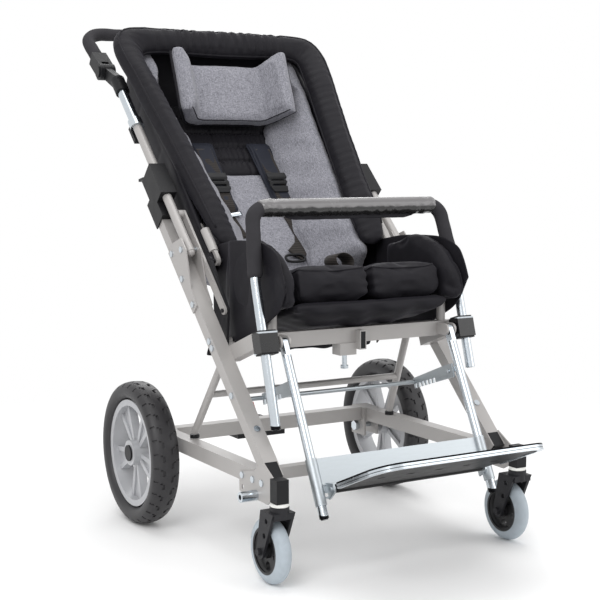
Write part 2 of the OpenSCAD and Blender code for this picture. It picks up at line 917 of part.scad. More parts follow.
module base_rails() {
    color(frame_grey) placed() pair() spot(frame_x, 0, rail_z)
        duct_y(rail_w, rail_h, -rail_ahead, rail_behind);
}
module base_cross_tubes() {
    color(frame_grey) placed() {
        spot(0, rear_cross_ahead, rail_z) duct_x(2 * rail_in, rear_cross_d, rail_h);
        spot(0, front_cross_ahead, front_cross_z) duct_x(2 * rail_in, front_cross_s, front_cross_s);
    }
}
module diagonals() {
    inner = diag_w - 2 * tube_wall;
    color(frame_grey) placed() pair() translate([frame_x, 0, 0]) on_diag() difference() {
        duct_y(diag_w, diag_t, -diag_down, diag_up);
        translate([-inner / 2, -diag_down - over, 0]) cube([inner, plug_show + over, diag_t]);
    }
}
module frame_plugs() {
    wall = 2 * tube_wall + 2 * seat_fit;
    inner = diag_w - wall;
    depth = diag_t - wall;
    color(black) placed() {
        pair() translate([frame_x, 0, 0]) on_diag() {
            box_y(inner, depth, -diag_down - plug_lip, -diag_down + plug_depth);
            translate([-inner / 2, -diag_down - plug_lip, 0])
                cube([inner, plug_show + plug_lip - seat_fit, diag_t / 2]);
        }
        pair() translate([strut_x, -strut_ahead, rail_top])
            cylinder(h = strut_z - rail_top - strut_d / 4 - seat_fit, d = bush_d);
        pair() translate([(rail_out + axle_plate_t + rear_x - hub_len / 2 - move_gap) / 2, 0, rear_r])
            difference() {
                rod_x(spacer_d, rear_x - hub_len / 2 - move_gap - rail_out - axle_plate_t);
                rod_x(axle_d + 2 * seat_fit, spacer_d * 2);
            }
        spot(-pommel_x, pommel_front, pommel_z)
            box_y(pommel_w - wall, pommel_h - wall, 0, plug_depth);
    }
}
module frame_plates() {
    length = axle_plate_front + rail_behind;
    height = rail_top - rear_r + axle_plate_drop;
    outline = [[-plate_rear, plate_low + plate_t], [-plate_rear, plate_rear_top],
               [-plate_peak + rail_h, rail_top], [-plate_peak, plate_peak_z], [-plate_front, plate_front_top],
               [-plate_front, housing_z + ear_t], [-plate_front + bridge_back, plate_low]];
    color(frame_grey) placed() pair() translate([rail_out + plate_t / 2, 0, 0]) difference() {
        sheet_x(outline, plate_t);
        spot(0, plate_hole_ahead, tie_z + ear_t) rod_x(plate_hole_d, plate_t + 2 * over);
    }
    color(frame_grey) placed() pair() for (x = [rail_in - axle_plate_t, rail_out]) difference() {
        translate([x, -axle_plate_front, rear_r - axle_plate_drop]) cube([axle_plate_t, length, height]);
        translate([x, 0, rear_r]) rod_x(axle_d + 2 * seat_fit, axle_plate_t * 4);
        if (x < rail_in) spot(x, rear_cross_ahead, rail_z)
            cube([axle_plate_t * 4, rear_cross_d + 2 * seat_fit, rail_h + 2 * over], center = true);
    }
}
module tie_down_sleeves() {
    color(chrome) placed() pair() spot(tie_x + tie_len / 2, tie_ahead, tie_z) difference() {
        rod_x(tie_d, tie_len);
        rod_x(tie_bore, tie_len + 2 * over);
    }
}
module stem_housings() {
    color(black) placed() pair() spot(caster_x, stem_ahead, housing_z) difference() {
        translate([-housing_s / 2, -housing_s / 2, 0]) cube([housing_s, housing_s, housing_h]);
        translate([0, 0, -over]) cylinder(h = stem_len + over, d = stem_d + 2 * run_fit);
    }
}
module stem_washers() {
    color("#E6E6E2") placed() pair() spot(caster_x, stem_ahead, crown_z + move_gap) difference() {
        cylinder(h = housing_z - crown_z - move_gap, d = washer_d);
        translate([0, 0, -over]) cylinder(h = housing_s, d = stem_d + 2 * move_gap);
    }
}
module fork() {
    arm_x = (fork_gap + fork_t) / 2;
    arm = [[-bridge_front, bridge_z + bridge_t], [bridge_back, bridge_z + bridge_t],
           [caster_trail + arm_r, caster_r], [caster_trail - arm_r, caster_r]];
    translate([0, 0, bridge_z]) cylinder(h = crown_z - bridge_z, d = crown_d);
    translate([0, 0, crown_z]) cylinder(h = stem_len, d = stem_d);
    translate([-arm_x, -bridge_front, bridge_z]) cube([2 * arm_x, bridge_front + bridge_back, bridge_t]);
    pair() translate([arm_x, 0, 0]) difference() {
        union() {
            sheet_x(arm, fork_t);
            translate([0, caster_trail, caster_r]) rod_x(2 * arm_r, fork_t);
        }
        translate([0, caster_trail, caster_r]) rod_x(caster_axle_d + 2 * seat_fit, fork_t + 2 * over);
        translate([0, caster_trail / 2, (caster_r + bridge_z) / 2]) rod_x(2 * arm_hole_r, fork_t + 2 * over);
        translate([0, caster_trail / 4, bridge_z - arm_hole_r]) rod_x(2 * arm_hole_r, fork_t + 2 * over);
    }
}
module caster_axle() {
    half = fork_gap / 2 + fork_t;
    translate([0, caster_trail, caster_r]) {
        rod_x(caster_axle_d, 2 * half + 2 * nut_h);
        pair() translate([half, 0, 0]) rotate([0, 90, 0]) cylinder(h = nut_h, d = nut_d, $fn = 6);
    }
}
module caster_wheel() {
    translate([0, caster_trail, caster_r]) rotate([0, 90, 0]) difference() {
        union() {
            rotate_extrude() translate([caster_r - caster_w / 2, 0]) circle(d = caster_w);
            difference() {
                cylinder(h = caster_w, r = caster_r - caster_w / 2, center = true);
                cylinder(h = caster_w + 2 * over, r = caster_hub_r - caster_hole_r / 2, center = true);
            }
            cylinder(h = caster_web_t, r = caster_hub_r, center = true);
            cylinder(h = caster_w, r = caster_boss_r, center = true);
        }
        cylinder(h = caster_w + 2 * over, d = caster_axle_d + 2 * run_fit, center = true);
        for (i = [0 : caster_holes - 1]) rotate(i * 360 / caster_holes)
            translate([(caster_boss_r + caster_hub_r) / 2, 0, 0])
                cylinder(h = caster_w, r = caster_hole_r, center = true);
    }
}
module caster_fork_left() {
    placed() spot(-caster_x, stem_ahead, 0) {
        color(black) fork();
        color(chrome) caster_axle();
    }
}
module caster_fork_right() {
    placed() spot(caster_x, stem_ahead, 0) {
        color(black) fork();
        color(chrome) caster_axle();
    }
}
module caster_wheel_left() { color("#B9C3CB") placed() spot(-caster_x, stem_ahead, 0) caster_wheel(); }
module caster_wheel_right() { color("#B9C3CB") placed() spot(caster_x, stem_ahead, 0) caster_wheel(); }

module rear_tyre() {
    rotate([0, 90, 0]) rotate_extrude() translate([rear_r - tyre_h / 2, 0])
        rotate(90) stadium(tyre_w, tyre_h);
}
module rear_rim() {
    ring_r = rear_r - tyre_h - seat_fit;
    root = hub_r - tube_wall;
    rotate([0, 90, 0]) difference() {
        union() {
            difference() {
                cylinder(h = rim_w, r = ring_r, center = true);
                cylinder(h = rim_w + 2 * over, r = ring_r - rim_t, center = true);
            }
            for (i = [0 : spoke_pairs - 1], k = [-1, 1]) rotate(i * 360 / spoke_pairs + k * spoke_split)
                translate([root, -spoke_w / 2, -spoke_t / 2])
                    cube([ring_r - rim_t / 2 - root, spoke_w, spoke_t]);
            cylinder(h = hub_len, r = hub_r, center = true);
        }
        cylinder(h = hub_len + 2 * over, d = axle_d + 2 * run_fit, center = true);
    }
}
module hub_cap() { translate([(hub_len + cap_h) / 2, 0, 0]) rod_x(2 * cap_r, cap_h); }
module rear_tyre_left() { color("#3A393B") placed() spot(-rear_x, 0, rear_r) rear_tyre(); }
module rear_tyre_right() { color("#3A393B") placed() spot(rear_x, 0, rear_r) rear_tyre(); }
module rear_rim_left() { color("#C9CACC") placed() spot(-rear_x, 0, rear_r) rear_rim(); }
module rear_rim_right() { color("#C9CACC") placed() spot(rear_x, 0, rear_r) rear_rim(); }
module hub_cap_left() { color(black) placed() mirror([1, 0, 0]) spot(rear_x, 0, rear_r) hub_cap(); }
module hub_cap_right() { color(black) placed() spot(rear_x, 0, rear_r) hub_cap(); }
module rear_axles() {
    color(chrome) placed() pair() translate([0, 0, rear_r]) {
        translate([(axle_in + axle_out) / 2, 0, 0]) rod_x(axle_d, axle_out - axle_in - move_gap);
        translate([rail_in - axle_plate_t - axle_nut_h / 2, 0, 0]) rotate([0, 90, 0])
            cylinder(h = axle_nut_h, d = axle_nut_d, center = true, $fn = 6);
    }
}
module strut_frame() {
    color(frame_grey) placed() {
        pair() rod_between(strut_foot, strut_head, strut_d);
        translate([0, strut_mid[1], strut_mid[2]]) rod_x(strut_bar_d, 2 * strut_mid[0]);
        pair() translate([(strut_head[0] + rail_in) / 2, strut_head[1], strut_head[2]])
            rod_x(strut_pin_d, rail_in - strut_head[0]);
    }
}
module hinge_brackets() {
    eye = hinge_w + 2 * move_gap;
    color(black) placed() pair() translate([hinge_x, 0, 0]) {
        difference() {
            rotate([90, 0, 90]) linear_extrude(height = hinge_t, center = true) {
                translate([-hinge_foot_ahead, hinge_foot_z]) rotate(foot_tilt)
                    translate([0, -hinge_w / 2]) square([foot_bar, hinge_w]);
                translate([-link_ahead, link_z]) rotate(hinge_tilt) {
                    translate([0, -hinge_w / 2]) square([hinge_len, hinge_w]);
                    circle(d = eye);
                    translate([hinge_len, 0]) circle(d = eye);
                }
            }
            translate([0, strut_head[1], strut_head[2]]) rod_x(strut_pin_d + 2 * seat_fit, 2 * hinge_t);
        }
        translate([link_x - hinge_x, -link_ahead, link_z]) rod_x(pin_d, 2 * (link_x - hinge_x) - seat_fit);
        translate([stub_x - hinge_x, -back_ahead, back_z]) rod_x(pin_d, 2 * (hinge_x - stub_x));
    }
}
module fold_plates() {
    outline = [[fold_low, -diag_t / 2], [fold_high, -diag_t / 2], [fold_high, fold_shoulder_n],
               [fold_corner, fold_reach], [fold_at - rivet_d, fold_reach], [fold_shoulder, fold_shoulder_n],
               [fold_low, diag_t / 2]];
    color(frame_grey) placed() pair() for (x = [rail_in - plate_t / 2, rail_out + plate_t / 2])
        translate([x, 0, 0]) on_diag() difference() {
            sheet_x(outline, plate_t);
            translate([0, fold_at, handle_off]) rod_x(pin_d + 2 * seat_fit, plate_t + 2 * over);
        }
}
module rivet() { translate([rivet_h / 2, 0, 0]) rod_x(rivet_d, rivet_h); }
module frame_fasteners() {
    color(chrome) placed() {
        pair() on_diag() {
            translate([rail_out + plate_t, fold_at, handle_off]) rivet();
            translate([frame_x, fold_at, handle_off]) rod_x(pin_d, rail_w + 2 * plate_t);
            for (s = [fold_low + rivet_d, (fold_low + fold_high) / 2, fold_high - rivet_d])
                translate([rail_out + plate_t, s, 0]) rivet();
            for (s = [fold_low / 2, fold_low / 2 + hinge_w, -hinge_w]) translate([rail_out, s, 0]) rivet();
            translate([frame_x, -diag_down / 2, diag_t / 2]) cylinder(h = rivet_h, d = rivet_d);
        }
        pair() for (ahead = [plate_rear + rivet_d, tie_ahead - rivet_d, plate_peak])
            spot(rail_out + plate_t, ahead, rail_z - rivet_h) rivet();
        spot(block_x, seat_bar_ahead, seat_bar_z - seat_bar_h / 2 - block_h - screw_len) {
            cylinder(h = screw_len, d = screw_d);
            cylinder(h = nut_h, d = nut_d + rivet_h, $fn = 6);
        }
    }
}
module link_bar(x) {
    translate([x, -link_ahead, link_z]) rotate([link_tilt, 0, 0])
        bar_eye(link_len, link_w, link_t, pin_d + 2 * run_fit);
}
module link_bar_left() { color(frame_grey) placed() link_bar(-link_x); }
module link_bar_right() { color(frame_grey) placed() link_bar(link_x); }
module handle_tubes() {
    bush = frame_x - handle_d / 2 - link_x - link_t / 2 - move_gap;
    color(frame_grey) placed() pair() translate([frame_x, 0, 0]) on_handle() {
        difference() {
            pipe_y(handle_d, handle_d - 2 * tube_wall, -handle_down, handle_up);
            rod_x(pin_d + 2 * run_fit, handle_d + 2 * over);
        }
        translate([0, -handle_down - seat_fit, 0]) difference() {
            sphere(d = ball_d);
            box_y(ball_d, ball_d, 0, ball_d);
        }
        translate([-(handle_d + bush) / 2 + tube_wall / 2, link_head, 0]) rod_x(link_w, bush + tube_wall);
    }
}
module lock_sleeves() {
    cavity = diag_w / 2 + move_gap;
    saddle_len = latch_at - saddle_low - latch_t;
    cavity_n = saddle_back - handle_off + diag_t / 2 + move_gap;
    color(black) placed() pair() translate([frame_x, 0, 0]) on_handle() difference() {
        union() {
            translate([-sleeve_half, sleeve_low, -handle_off])
                cube([2 * sleeve_half, sleeve_high - sleeve_low, handle_off + sleeve_front]);
            translate([-sleeve_half, saddle_low, -saddle_back])
                cube([2 * sleeve_half, saddle_len, saddle_back - sleeve_front]);
        }
        rod_y(handle_d + 2 * seat_fit, 0, sleeve_high + over);
        translate([-cavity, saddle_low - over, -saddle_back - over])
            cube([2 * cavity, saddle_len + over, cavity_n + over]);
    }
}
module latch_lever(x) {
    half = latch_t / 2;
    miter = half * tan(hook_bend / 2);
    tip = [latch_len + hook_len * cos(hook_bend), -hook_len * sin(hook_bend)];
    across = half * [sin(hook_bend), cos(hook_bend)];
    side = [[0, -half], [0, half], [latch_len + miter, half], tip + across, tip - across,
            [latch_len - miter, -half]];
    translate([x, 0, 0]) on_handle() translate([0, latch_at, -handle_off - half - move_gap])
        sheet_x(side, latch_w);
}
module latch_lever_left() { color(black) placed() latch_lever(-frame_x); }
module latch_lever_right() { color(black) placed() latch_lever(frame_x); }
module telescopic_tubes() {
    color(chrome) placed() pair() translate([frame_x, 0, 0]) on_handle() {
        pipe_y(slide_d, handle_d + 2 * run_fit, slide_low, slide_high);
        pipe_y(collar_d, slide_d, slide_low, slide_low + collar_h);
    }
}
module clamp_lever(x) {
    translate([x, 0, 0]) on_handle()
        translate([0, slide_low + collar_h, -(collar_d + clamp_t) / 2 - move_gap])
            box_y(clamp_w, clamp_t, -clamp_len, 0);
}
module clamp_lever_left() { color(black) placed() clamp_lever(-frame_x); }
module clamp_lever_right() { color(black) placed() clamp_lever(frame_x); }
module lower_knuckles() {
    side = [[slide_high, socket_d / 2], [knuckle_at + knuckle_d / 4, -knuckle_back + knuckle_d / 4],
            [knuckle_at - knuckle_d / 4, -knuckle_back - knuckle_d / 4], [slide_high, -socket_d / 2]];
    color(black) placed() pair() translate([frame_x, 0, 0]) on_handle() {
        difference() {
            rod_y(socket_d, slide_high - socket_len, slide_high + tongue_t / 2);
            rod_y(slide_d + 2 * seat_fit, slide_high - socket_len - over, slide_high + seat_fit);
        }
        sheet_x(side, tongue_t);
        translate([0, knuckle_at, -knuckle_back]) rod_x(knuckle_d, tongue_t);
    }
}
module upper_knuckles() {
    cheek = tongue_t / 2 + move_gap;
    color(black) placed() pair() translate([frame_x, 0, 0]) on_knuckle() {
        difference() {
            union() {
                for (x = [cheek + cheek_t / 2, -cheek - cheek_t / 2]) translate([x, 0, 0]) {
                    rod_x(knuckle_d, cheek_t);
                    box_y(cheek_t, socket_d, 0, foam_from);
                }
                box_y(2 * cheek, socket_d, knuckle_d / 2 + move_gap, foam_from);
            }
            rod_y(bar_d + 2 * seat_fit, knuckle_d / 2 + move_gap, foam_from + over);
        }
        translate([cheek + cheek_t + button_h / 2, 0, 0]) rod_x(button_d, button_h);
    }
}
module bow(from) {
    path = [[frame_x - bar_corner, -90], [bar_reach - bar_corner - from, 0]];
    pair() translate([0, bar_reach, 0]) rotate([0, 0, -90]) bend_run(path, bar_corner) children();
}
module push_bar() {
    color(frame_grey) placed() on_knuckle() bow(knuckle_d / 2 + 2 * move_gap)
        ring(bar_d, bar_d - 2 * tube_wall);
}
module push_foam() {
    color(foam) placed() on_knuckle() bow(foam_from + seat_fit) ring(foam_d, bar_d + 2 * seat_fit);
}
module seat_frame() {
    ear_len = leg_ahead - seat_bar_ahead - seat_bar_d / 2;
    color(frame_grey) placed() difference() {
        union() {
            spot(0, seat_bar_ahead, seat_bar_z) duct_x(2 * seat_bar_half + tube_wall, seat_bar_d, seat_bar_h);
            pair() translate([seat_bar_half + side_rail_w / 2, 0, 0])
                tilted(seat_bar_ahead, seat_bar_z, -side_rail_fall)
                    duct_y(side_rail_w, seat_bar_h, -seat_bar_d / 4, side_rail_len);
            pair() spot(post_x, seat_bar_ahead, seat_bar_z + seat_bar_h / 2) cylinder(h = post_h, d = post_d);
            spot(-pommel_x, pommel_front, pommel_z) box_y(pommel_w, pommel_h, 0, pommel_len);
            spot(block_x, seat_bar_ahead, seat_bar_z - (seat_bar_h + block_h) / 2)
                cube([block_w, seat_bar_d + seat_bar_d / 2, block_h], center = true);
            for (x = [-leg_x - leg_d / 2, -leg_x + leg_d / 2, leg_x - leg_d / 2, leg_x + leg_d / 2])
                spot(x, leg_ahead, leg_z) {
                    rod_x(2 * ear_r, ear_t);
                    translate([-ear_t / 2, 0, -ear_r]) cube([ear_t, ear_len, 2 * ear_r]);
                }
            pair() spot(leg_x, leg_ahead, leg_z) rod_x(pin_d, leg_d);
        }
        spot(-pommel_x, pommel_front, pommel_z)
            box_y(pommel_w - 2 * tube_wall, pommel_h - 2 * tube_wall, -over, pommel_len + over);
    }
}
module grab_clamps() {
    bar_front = seat_bar_ahead + seat_bar_d / 2;
    color(chrome) placed() pair() difference() {
        union() {
            translate([insert_x, 0, 0]) on_grab()
                box_y(insert_w + 2 * loop_t, insert_d + 2 * loop_t, -loop_h / 2, loop_h / 2);
            spot(seat_bar_half - tab_w, bar_front + tab_len, seat_bar_z - ear_t)
                cube([tab_w, tab_len, seat_bar_h / 2]);
        }
        translate([insert_x, 0, 0]) on_grab() box_y(insert_w, insert_d, -loop_h, loop_h);
    }
}
module clamp_inserts() {
    color(black) placed() pair() on_grab() difference() {
        translate([insert_x, 0, 0])
            box_y(insert_w - 2 * seat_fit, insert_d - 2 * seat_fit, -insert_h / 2, insert_h / 2);
        translate([grab_x, 0, 0]) rod_y(grab_d + 2 * run_fit, -insert_h, insert_h);
    }
}
module grab_half(leg) {
    along([[0, grab_top], [grab_shoulder_x, grab_top], [grab_x, grab_straight], [grab_x, -leg]], grab_bend)
        ring(grab_d, grab_d - 2 * tube_wall);
}
module grab_bar() {
    color(chrome) placed() on_grab() {
        grab_half(grab_right);
        mirror([1, 0, 0]) grab_half(grab_left);
    }
}
module grab_foam() {
    corner = [[pad_half + seat_fit, grab_top], [grab_shoulder_x, grab_top]];
    right = concat(corner, [[grab_x, grab_straight], [grab_x, foam_right]]);
    left = concat(corner, [[foam_left_x, foam_left]]);
    color(foam) placed() on_grab() {
        along(right, grab_bend) ring(grab_foam_d, grab_d + 2 * seat_fit);
        mirror([1, 0, 0]) along(left, grab_bend) ring(grab_foam_d, grab_d + 2 * seat_fit);
    }
}
module grab_pad() {
    color(vinyl) placed() on_grab() translate([0, grab_top, 0]) difference() {
        union() {
            rod_x(pad_d, 2 * pad_half - 2 * seat_fit);
            translate([0, -pad_d / 2 - flap_h, 0])
                box_y(2 * pad_half - 2 * pad_d, flap_t, 0, pad_d / 2 + flap_h);
        }
        rod_x(grab_d + 2 * seat_fit, 2 * pad_half);
    }
}
module legrest_tubes() {
    color(chrome) placed() on_leg() pair() translate([leg_x, 0, 0]) {
        pipe_y(leg_d, leg_d - 2 * tube_wall, -leg_len, -leg_flat);
        rod_y(leg_d - 2 * tube_wall - 2 * seat_fit, -leg_len - plug_lip, -leg_len + plug_depth);
        difference() {
            union() {
                box_y(leg_d - 2 * ear_t, leg_d, -leg_flat - plug_lip, 0);
                rod_x(leg_d, leg_d - 2 * ear_t);
            }
            rod_x(pin_d + 2 * run_fit, leg_d);
        }
        translate([-leg_x + rack_x + rack_t / 2 + move_gap, -rack_at - leg_d / 4, -rack_back - pin_d])
            cube([rack_t, leg_d / 2, rack_back + pin_d / 2]);
        translate([rack_x - leg_x + rack_t / 4, -rack_at, -rack_back])
            rod_x(pin_d, 2 * rack_t + 2 * move_gap);
    }
}
module toothed_plates() {
    first = rack_len - tooth_slots * tooth_pitch;
    side = [[-rack_half, -rack_half], [-rack_half, rack_half], [rack_half, rack_half],
            [rack_len, rack_rear_top], [rack_len, -rack_half]];
    color(chrome) placed() on_rack() {
        pair() translate([rack_x, 0, 0]) difference() {
            sheet_x(side, rack_t);
            rod_x(pin_d + 2 * run_fit, rack_t + 2 * over);
            for (i = [0 : tooth_slots - 1])
                translate([-rack_t, first + i * tooth_pitch, -rack_half - over])
                    cube([2 * rack_t, tooth_slot, tooth_h + over]);
        }
        translate([0, rack_len, 0]) rod_x(rack_rod_d, 2 * rack_rod_half);
    }
}
module foot_carrier() {
    tip = foot_hinge_n + pin_d;
    arm = leg_x - foot_d / 2 - foot_ear_x;
    ear = [[-foot_hinge - foot_ear_half, 0], [-foot_hinge + foot_ear_half, 0],
           [-foot_hinge + foot_ear_half / 2, tip], [-foot_hinge - foot_ear_half / 2, tip]];
    color(chrome) placed() on_leg() {
        pair() translate([leg_x, 0, 0]) pipe_y(foot_d, leg_d + 2 * run_fit, -foot_low, -foot_top);
        box_y(2 * leg_x - foot_d + heel_t, heel_t, -foot_top - heel_h, -foot_top);
        pair() translate([foot_ear_x, 0, 0]) {
            sheet_x(ear, ear_t);
            translate([-pin_d / 2, -foot_hinge, foot_hinge_n]) rod_x(pin_d, 2 * pin_d + ear_t);
            for (s = [-foot_hinge - ear_r, -foot_hinge + ear_r]) translate([arm / 2, s, 0])
                rod_x(ear_t, arm + ear_t / 2);
        }
    }
}
module foot_outline(inset) {
    half = foot_half - inset;
    square_len = foot_len - foot_root - foot_corner;
    translate([-half, -foot_root - square_len]) square([2 * half, square_len]);
    translate([-half + foot_corner, -foot_len + inset]) square([2 * half - 2 * foot_corner, foot_corner]);
    for (x = [-half + foot_corner, half - foot_corner])
        translate([x, -foot_len + foot_corner + inset]) circle(r = foot_corner);
}
module footplate_tray() {
    color(black) placed() on_foot() difference() {
        union() {
            translate([0, 0, -tray_t]) linear_extrude(height = tray_t) foot_outline(rim_edge_w + seat_fit);
            translate([-foot_root_half, -foot_root, -tray_t])
                cube([2 * foot_root_half, foot_root - pin_d / 2, tray_t]);
            rod_x(2 * pin_d, 2 * foot_root_half);
        }
        rod_x(pin_d + 2 * run_fit, 2 * foot_half);
        for (i = [-2 : 1 : 2]) translate([i * foot_half / 3 - pin_d, -foot_len / 2, -tray_t - over])
            cube([2 * pin_d, pin_d, 2 * tray_t]);
    }
}
module footplate_rim() {
    color(chrome) placed() on_foot() translate([0, 0, -rim_edge_h / 2]) linear_extrude(height = rim_edge_h)
        difference() {
            foot_outline(0);
            foot_outline(rim_edge_w);
        }
}
module footplate_mat() {
    count = floor((foot_len - foot_root) / rib_pitch) - 1;
    color(black) placed() on_foot() difference() {
        translate([0, 0, seat_fit]) linear_extrude(height = mat_t) foot_outline(rim_edge_w + seat_fit);
        for (i = [1 : count]) translate([-foot_half, -foot_root - i * rib_pitch, mat_t + seat_fit - rib_h])
            cube([2 * foot_half, rib_pitch / 2, rib_h + over]);
    }
}
module brake_housing() {
    top = rail_z - rail_h / 2 - seat_fit;
    color(black) placed() {
        translate([-pedal_x - brake_w / 2, -rear_cross_d / 2, top - brake_h])
            cube([brake_w, rear_cross_d / 2 + pedal_behind + pedal_t, brake_h]);
        for (x = [-pedal_w / 2 - pedal_t - move_gap, pedal_w / 2 + move_gap])
            translate([x - pedal_x, pedal_behind - pedal_t, top - brake_h])
                cube([pedal_t, 2 * pedal_t, pedal_z - top + brake_h + pedal_t]);
        translate([-pedal_x, pedal_behind, pedal_z]) rod_x(pin_d, pedal_w + 2 * pedal_t);
    }
}
module brake_pedal() {
    color("#B33A2E") placed() translate([-pedal_x, pedal_behind, pedal_z]) rotate([90, 0, 90])
        linear_extrude(height = pedal_w, center = true) difference() {
            union() {
                circle(d = 2 * pedal_t);
                rotate(pedal_rise) translate([0, -pedal_t / 2]) square([pedal_len, pedal_t]);
            }
            circle(d = pin_d + 2 * run_fit);
        }
}
module lobe() {
    half = lobe_w / 2 - lobe_r;
    crown = lobe_w / 4;
    hull() {
        for (x = [-half, half], y = [lobe_r, lobe_len - lobe_r], z = [lobe_r, lobe_t - lobe_r - lobe_crown])
            translate([x, y, z]) sphere(r = lobe_r, $fn = soft_fn);
        for (x = [-crown, crown], y = [crown, lobe_len - crown])
            translate([x, y, lobe_t - lobe_r]) sphere(r = lobe_r, $fn = soft_fn);
    }
}
module seat_cushion() {
    color(cloth) placed() on_seat() pair() translate([(lobe_w + lobe_gap) / 2, 0, seat_fit]) lobe();
}
module seat_cover() {
    panel = [[-panel_rear, panel_top - bag_t], [-panel_rear - bag_t, panel_top],
             [-panel_front + bag_t, panel_top], [-panel_front, panel_low], [-panel_rear - bag_t, panel_low]];
    color(cloth) placed() {
        on_seat() {
            translate([-board_half, 0, -board_t]) cube([2 * board_half, lobe_len, board_t]);
            translate([-bag_half, bag_back, -board_t - bag_t])
                cube([2 * bag_half, bag_len, bag_t]);
        }
        pair() translate([panel_x, 0, 0]) sheet_x(panel, panel_t);
        tilted(skirt_ahead, skirt_z, -skirt_tilt) box_y(2 * skirt_half, skirt_t, 0, skirt_len);
    }
}
module seat_wings() {
    corners = concat([[-wing_rear, wing_rear_low]], wing_path);
    color(cloth) placed() pair() translate([wing_x, 0, 0]) hull()
        for (p = corners) translate([0, p[0], p[1]]) sphere(d = wing_d, $fn = soft_fn);
}
module back_frame() {
    color(frame_grey) placed() on_back() {
        pair() translate([stub_x, 0, 0]) {
            difference() {
                union() {
                    rod_x(stub_d, flat_t);
                    box_y(flat_t, stub_d, 0, stub_d);
                }
                rod_x(pin_d + 2 * run_fit, flat_t + 2 * over);
            }
            translate([0, 0, stub_n]) rod_y(stub_d, stub_d, stub_end);
        }
        pair() translate([0, back_top, -back_n]) rotate([0, 0, -90])
            bend_run([[stub_x - back_bend, -90], [back_top - back_bend - stub_end + stub_d, 0]], back_bend)
                circle(d = back_d);
    }
}
module back_shell() {
    length = shell_top - shell_low;
    depth = bucket_back + seat_fit + shell_t - bucket_front;
    color(cloth) placed() on_back() difference() {
        translate([-shell_half, shell_low, -bucket_front - depth]) cube([2 * shell_half, length, depth]);
        translate([-shell_in, shell_low - over, -bucket_back - seat_fit])
            cube([2 * shell_in, length - shell_t + over, depth]);
    }
}
// One side of the bolster outline at a distance from its middle line, foot to top
function bolster_side(d) = concat([[bolster_x + d * flare_c, bolster_low - d * flare_s]],
    [for (i = [0 : corner_steps]) let(a = i * (90 + bolster_flare) / corner_steps - bolster_flare)
        [arc_x + (bolster_corner + d) * cos(a), arc_s + (bolster_corner + d) * sin(a)]]);
function flipped(pts) = [for (p = pts) [-p[0], p[1]]];
function turned(pts) = [for (i = [len(pts) - 1 : -1 : 0]) pts[i]];
module bolster_band(w, t) {
    outer = bolster_side(w / 2);
    inner = bolster_side(-w / 2);
    linear_extrude(height = t, center = true)
        polygon(concat(outer, turned(flipped(outer)), flipped(inner), turned(inner)));
}
module back_bolster() {
    color(cloth) placed() on_back() translate([0, 0, bolster_n]) {
        bolster_band(bolster_w, bolster_t * crown_shares[0]);
        bolster_band(bolster_w * crown_shares[1], bolster_t);
    }
}
module back_pad() {
    color(cloth) placed() on_back() difference() {
        translate([-back_pad_half, pad_low, -bucket_back])
            cube([2 * back_pad_half, pad_top - pad_low, back_pad_t]);
        for (i = [0 : channels - 1]) translate([0, channel_from + i * channel_pitch, -panel_n])
            box_y(2 * back_pad_half + 2 * over, 2 * channel_h, 0, channel_w);
    }
}
module side_pads() {
    outer = shell_in - seat_fit;
    front = bucket_front + seat_fit;
    wedge = [[back_pad_half + seat_fit, -bucket_back], [outer, -bucket_back], [outer, -front],
             [side_pad_x, -front]];
    color(melange) placed() on_back() pair() {
        translate([0, side_pad_top, 0]) rotate([90, 0, 0])
            linear_extrude(height = side_pad_top - side_pad_low) polygon(wedge);
        translate([outer - strip_t, side_pad_top - strip_t, -bucket_back])
            cube([strip_t, pad_top - side_pad_top + strip_t, bucket_back - front]);
    }
}
module headrest() {
    dip_r = (pow(head_half, 2) + pow(head_dip, 2)) / (2 * head_dip);
    behind = panel_n - head_n - move_gap;
    placed() on_back() translate([0, head_low, -head_n]) {
        color(melange) rotate([head_lean, 0, 0]) difference() {
            translate([0, head_h, 0]) rotate([90, 0, 0]) linear_extrude(height = head_h) {
                square([2 * head_half, head_t], center = true);
                for (k = [-1, 1]) translate([k * head_half, 0]) rotate(k * head_angle) {
                    circle(d = head_t);
                    translate([k * head_wing / 2, 0]) square([head_wing, head_t], center = true);
                    translate([k * head_wing, 0]) circle(d = head_t);
                }
            }
            translate([0, head_h + dip_r - head_dip, 0]) cylinder(h = 4 * head_t, r = dip_r, center = true);
        }
        color(black) for (x = [-head_post_x, head_post_x]) translate([x, head_post, -behind])
            cylinder(h = behind + head_post * tan(head_lean), d = head_post_d);
    }
}
module harness() {
    color(black) placed() on_back() pair() translate([strap_x, 0, seat_fit - panel_n]) {
        translate([-strap_pad_w / 2, strap_pad_low, 0])
            cube([strap_pad_w, strap_pad_top - strap_pad_low, strap_pad_t]);
        translate([-strap_w / 2, strap_low, 0]) cube([strap_w, strap_pad_low - strap_low, strap_t]);
        translate([-strap_w / 2, buckle_at, strap_pad_t]) cube([strap_w, buckle_h, buckle_t]);
    }
}

